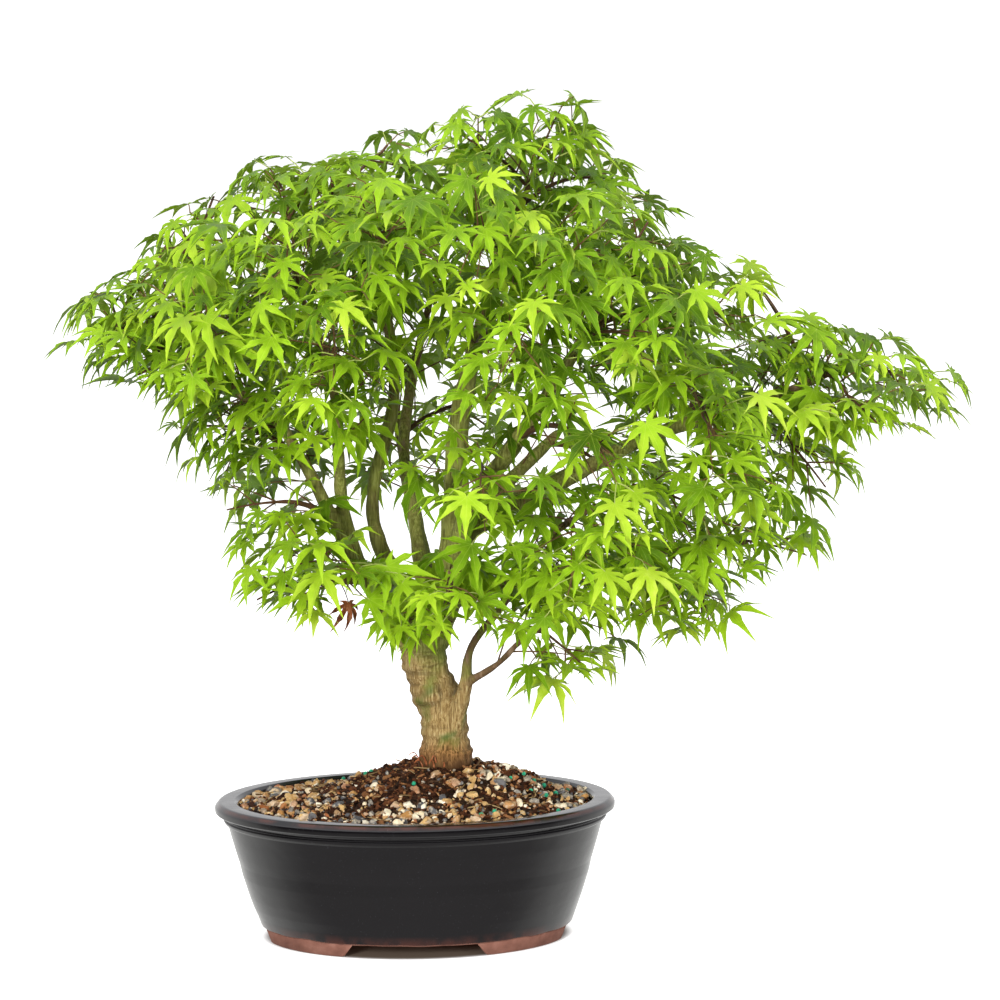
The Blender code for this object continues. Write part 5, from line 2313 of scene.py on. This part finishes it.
    @staticmethod
    def _twig_points(start: Vector, heading: Vector, length: float) -> list[Vector]:
        """Return the points of a twig that bends a little with its weight."""
        shares = [step / 6 for step in range(7)]
        return [start + heading * length * t - UP * TWIG_DROOP * length * t * t for t in shares]

    def _twig(self, twigs: Routes, start: Vector, heading: Vector, length: float, girth: float,
              tint: float) -> list[Vector]:
        """Add a twig, and return its points."""
        points = self._twig_points(start, heading, length)
        while len(points) > 2 and not self.outline.holds(points[-1] + heading * 22 * MM):
            points.pop()
        twigs.add([(place, girth * (1.0 - 0.08 * k), tint + 0.015 * k) for k, place in enumerate(points)])
        return points

    def _leaf_pair(self, chance: random.Random, twigs: Routes, leaves: LeafSet, knot: Vector, heading: Vector,
                   outward: Vector, ahead: float) -> int:
        """Add two opposite leaves on their stalks where the outline takes them, and return how many grew."""
        side = heading.cross(UP)
        side = side.normalized() if side.length > LEAST_SIDE else outward.cross(UP).normalized()
        grown = 0
        for way in (-1, 1):
            lean = side * way + heading * ahead + outward * 0.40 + UP * 0.10 + 0.35 * _scatter(chance)
            lean.normalize()
            length = self.stalk * chance.uniform(0.6, 1.35)
            joint = knot + lean * length * 0.95 - UP * chance.uniform(0.05, 0.2) * length
            flat = Vector((lean.x, lean.y, 0.0)) + 0.5 * Vector((outward.x, outward.y, 0.0))
            tip = flat.normalized() * 0.85 - UP * chance.uniform(0.05, 0.80) + 0.35 * _scatter(chance)
            tip.normalize()
            face = outward * 0.32 + UP + 0.42 * _scatter(chance)
            size = min(LARGEST_LEAF, max(LEAST_LEAF, chance.gauss(LEAF_SIZE, LEAF_SIZE_SCATTER)))
            blade = self.blade * size
            across = face.cross(tip).normalized() * 0.6 * blade
            ends = (joint, joint + tip * blade * 0.95, joint + across, joint - across)
            middle = joint + tip * blade * 0.45
            if chance.random() > self.outline.kept(middle):
                continue
            if not self.outline.takes(middle, *ends):
                continue
            grown += 1
            pale = RED_STALK if chance.random() < RED_STALK_SHARE else GREEN_STALK
            halfway = knot + lean * length * 0.5
            twigs.add([
                (knot, STALK_FOOT_RADIUS, pale), (halfway, STALK_RADIUS, pale),
                (joint, STALK_RADIUS, pale)])
            # Inner leaves get a deeper tint: painted shade inside the crown, besides each leaf's random tint.
            local = (joint - SITE.place(*CROWN_MIDDLE_MM)) / MM
            depth = math.sqrt((local.x / 350) ** 2 + (local.y / 220) ** 2 + (local.z / 270) ** 2)
            tint = 0.22 + 0.30 * min(1.0, depth) - 0.13 * outward.z + chance.gauss(0.0, 0.145)
            leaves.add(
                joint, tip, face, size, chance.randrange(len(LEAF_SHAPES)), min(PALEST_TINT, max(0.0, tint)))
        return grown


def _scatter(chance: random.Random) -> Vector:
    """Return a random vector, about as long as 1."""
    return Vector([chance.gauss(0.0, 0.6) for _ in range(3)])


# Stage ----------------------------------------------------------------------------------------------


@dataclass
class Studio:
    """The camera, the lights and the white floor.

    Attributes:
        pitch: How far the camera looks down, in degrees.
        roll: How far it leans, in degrees.
    """

    pitch: float = 6.52
    roll: float = 0.8

    def build(self) -> None:
        """Set up the camera, the lights, the floor and the world."""
        scene = bpy.context.scene
        data = bpy.data.cameras.new("camera")
        data.lens = 153.4
        data.sensor_width = 36.0
        data.clip_end = 30.0
        camera = bpy.data.objects.new("camera", data)
        scene.collection.objects.link(camera)
        camera.location = SITE.middle + Vector((VIEW_ASIDE, -VIEW_DISTANCE, VIEW_HEIGHT))
        turn = Matrix.Rotation(math.radians(90 - self.pitch), 4, "X") @ Matrix.Rotation(
            math.radians(-self.roll), 4, "Z")
        camera.rotation_euler = turn.to_euler()
        scene.camera = camera
        scene.view_settings.view_transform = "Standard"
        self._floor()
        self._world()
        self._area("key", (-1.05, -2.95, 0.95), 0.6, 96.0)
        self._area("fill", (2.1, -2.5, 0.5), 1.4, 58.0)
        self._area("top", (-0.1, -0.9, 2.9), 0.8, 36.0)
        LOG.info("stage")

    def _area(self, name: str, place: Sequence[float], size: float, power: float) -> None:
        """Add a soft square light that looks at the crown.

        Args:
            name: The light's name.
            place: Its place from the pot's middle.
            size: Its side.
            power: Its power in watts.
        """
        data = bpy.data.lights.new(name, "AREA")
        data.size = size
        data.energy = power
        item = bpy.data.objects.new(name, data)
        bpy.context.scene.collection.objects.link(item)
        item.location = SITE.middle + Vector(place)
        aim = SITE.middle + Vector((0.07, 0.0, 0.35)) - item.location
        item.rotation_euler = aim.to_track_quat("-Z", "Y").to_euler()
        item.visible_glossy = False

    @staticmethod
    def _floor() -> None:
        """Lay the white floor."""
        shape = bmesh.new()
        bmesh.ops.create_grid(shape, x_segments=1, y_segments=1, size=12.0)
        shape.transform(Matrix.Translation(SITE.middle - UP * 0.0002))
        floor = add_mesh_object("floor", mesh_from_shape("floor", shape))
        floor.data.materials.append(FloorFinish().material())
        floor.visible_glossy = False
        floor.visible_diffuse = False

    @staticmethod
    def _world() -> None:
        """Light from a soft sky, dim in front for glossy surfaces, before a white ground."""
        world = bpy.data.worlds.new("white")
        world.use_nodes = True
        tree = Tree(world.node_tree)
        back = world.node_tree.nodes["Background"]
        way = tree.node("ShaderNodeSeparateXYZ", {0: tree.node("ShaderNodeTexCoord").outputs["Generated"]})
        up, behind = way.outputs[2], way.outputs[1]
        diffuse = tree.ramp(tree.span(up, -0.5, 0.4), [(0.0, (0.20, 0.20, 0.19)), (0.5, (0.47, 0.47, 0.47)),
                                                       (1.0, (0.46, 0.46, 0.46))])
        front = tree.ramp(tree.span(up, -1.0, 1.0, smooth=False), [
            (0.18, (0.36, 0.35, 0.35)), (0.345, (0.275, 0.275, 0.265)), (0.405, (0.006, 0.005, 0.007)),
            (0.65, (0.01, 0.01, 0.015)), (0.72, (1.60, 1.60, 1.62)), (0.82, (1.20, 1.20, 1.23)),
            (1.00, (0.80, 0.82, 0.88))])
        back_sky = tree.ramp(tree.span(up, -1.0, 1.0, smooth=False), [
            (0.40, (0.90, 0.90, 0.88)), (0.50, (0.92, 0.92, 0.92)), (0.60, (0.84, 0.84, 0.85)),
            (1.00, (0.80, 0.82, 0.88))])
        glossy = tree.mix(tree.span(behind, -0.45, 0.35), front, back_sky)
        path = tree.node("ShaderNodeLightPath")
        sky = tree.mix(path.outputs["Is Glossy Ray"], diffuse, glossy)
        world.node_tree.links.new(
            tree.mix(path.outputs["Is Camera Ray"], sky, (1.1, 1.1, 1.1)), back.inputs["Color"])
        bpy.context.scene.world = world


def main() -> None:
    """Build every piece in order."""
    logging.basicConfig(level=logging.INFO, format="%(name)s: %(message)s")
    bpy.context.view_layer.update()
    finishes = Finishes.make()
    growths = Growths()
    Pot(finishes).build()
    SoilBed(finishes, growths).build()
    plans = Wood(finishes, growths).build()
    Crown(finishes, growths).build(plans)
    Studio().build()
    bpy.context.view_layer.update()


if __name__ == "__main__":
    main()
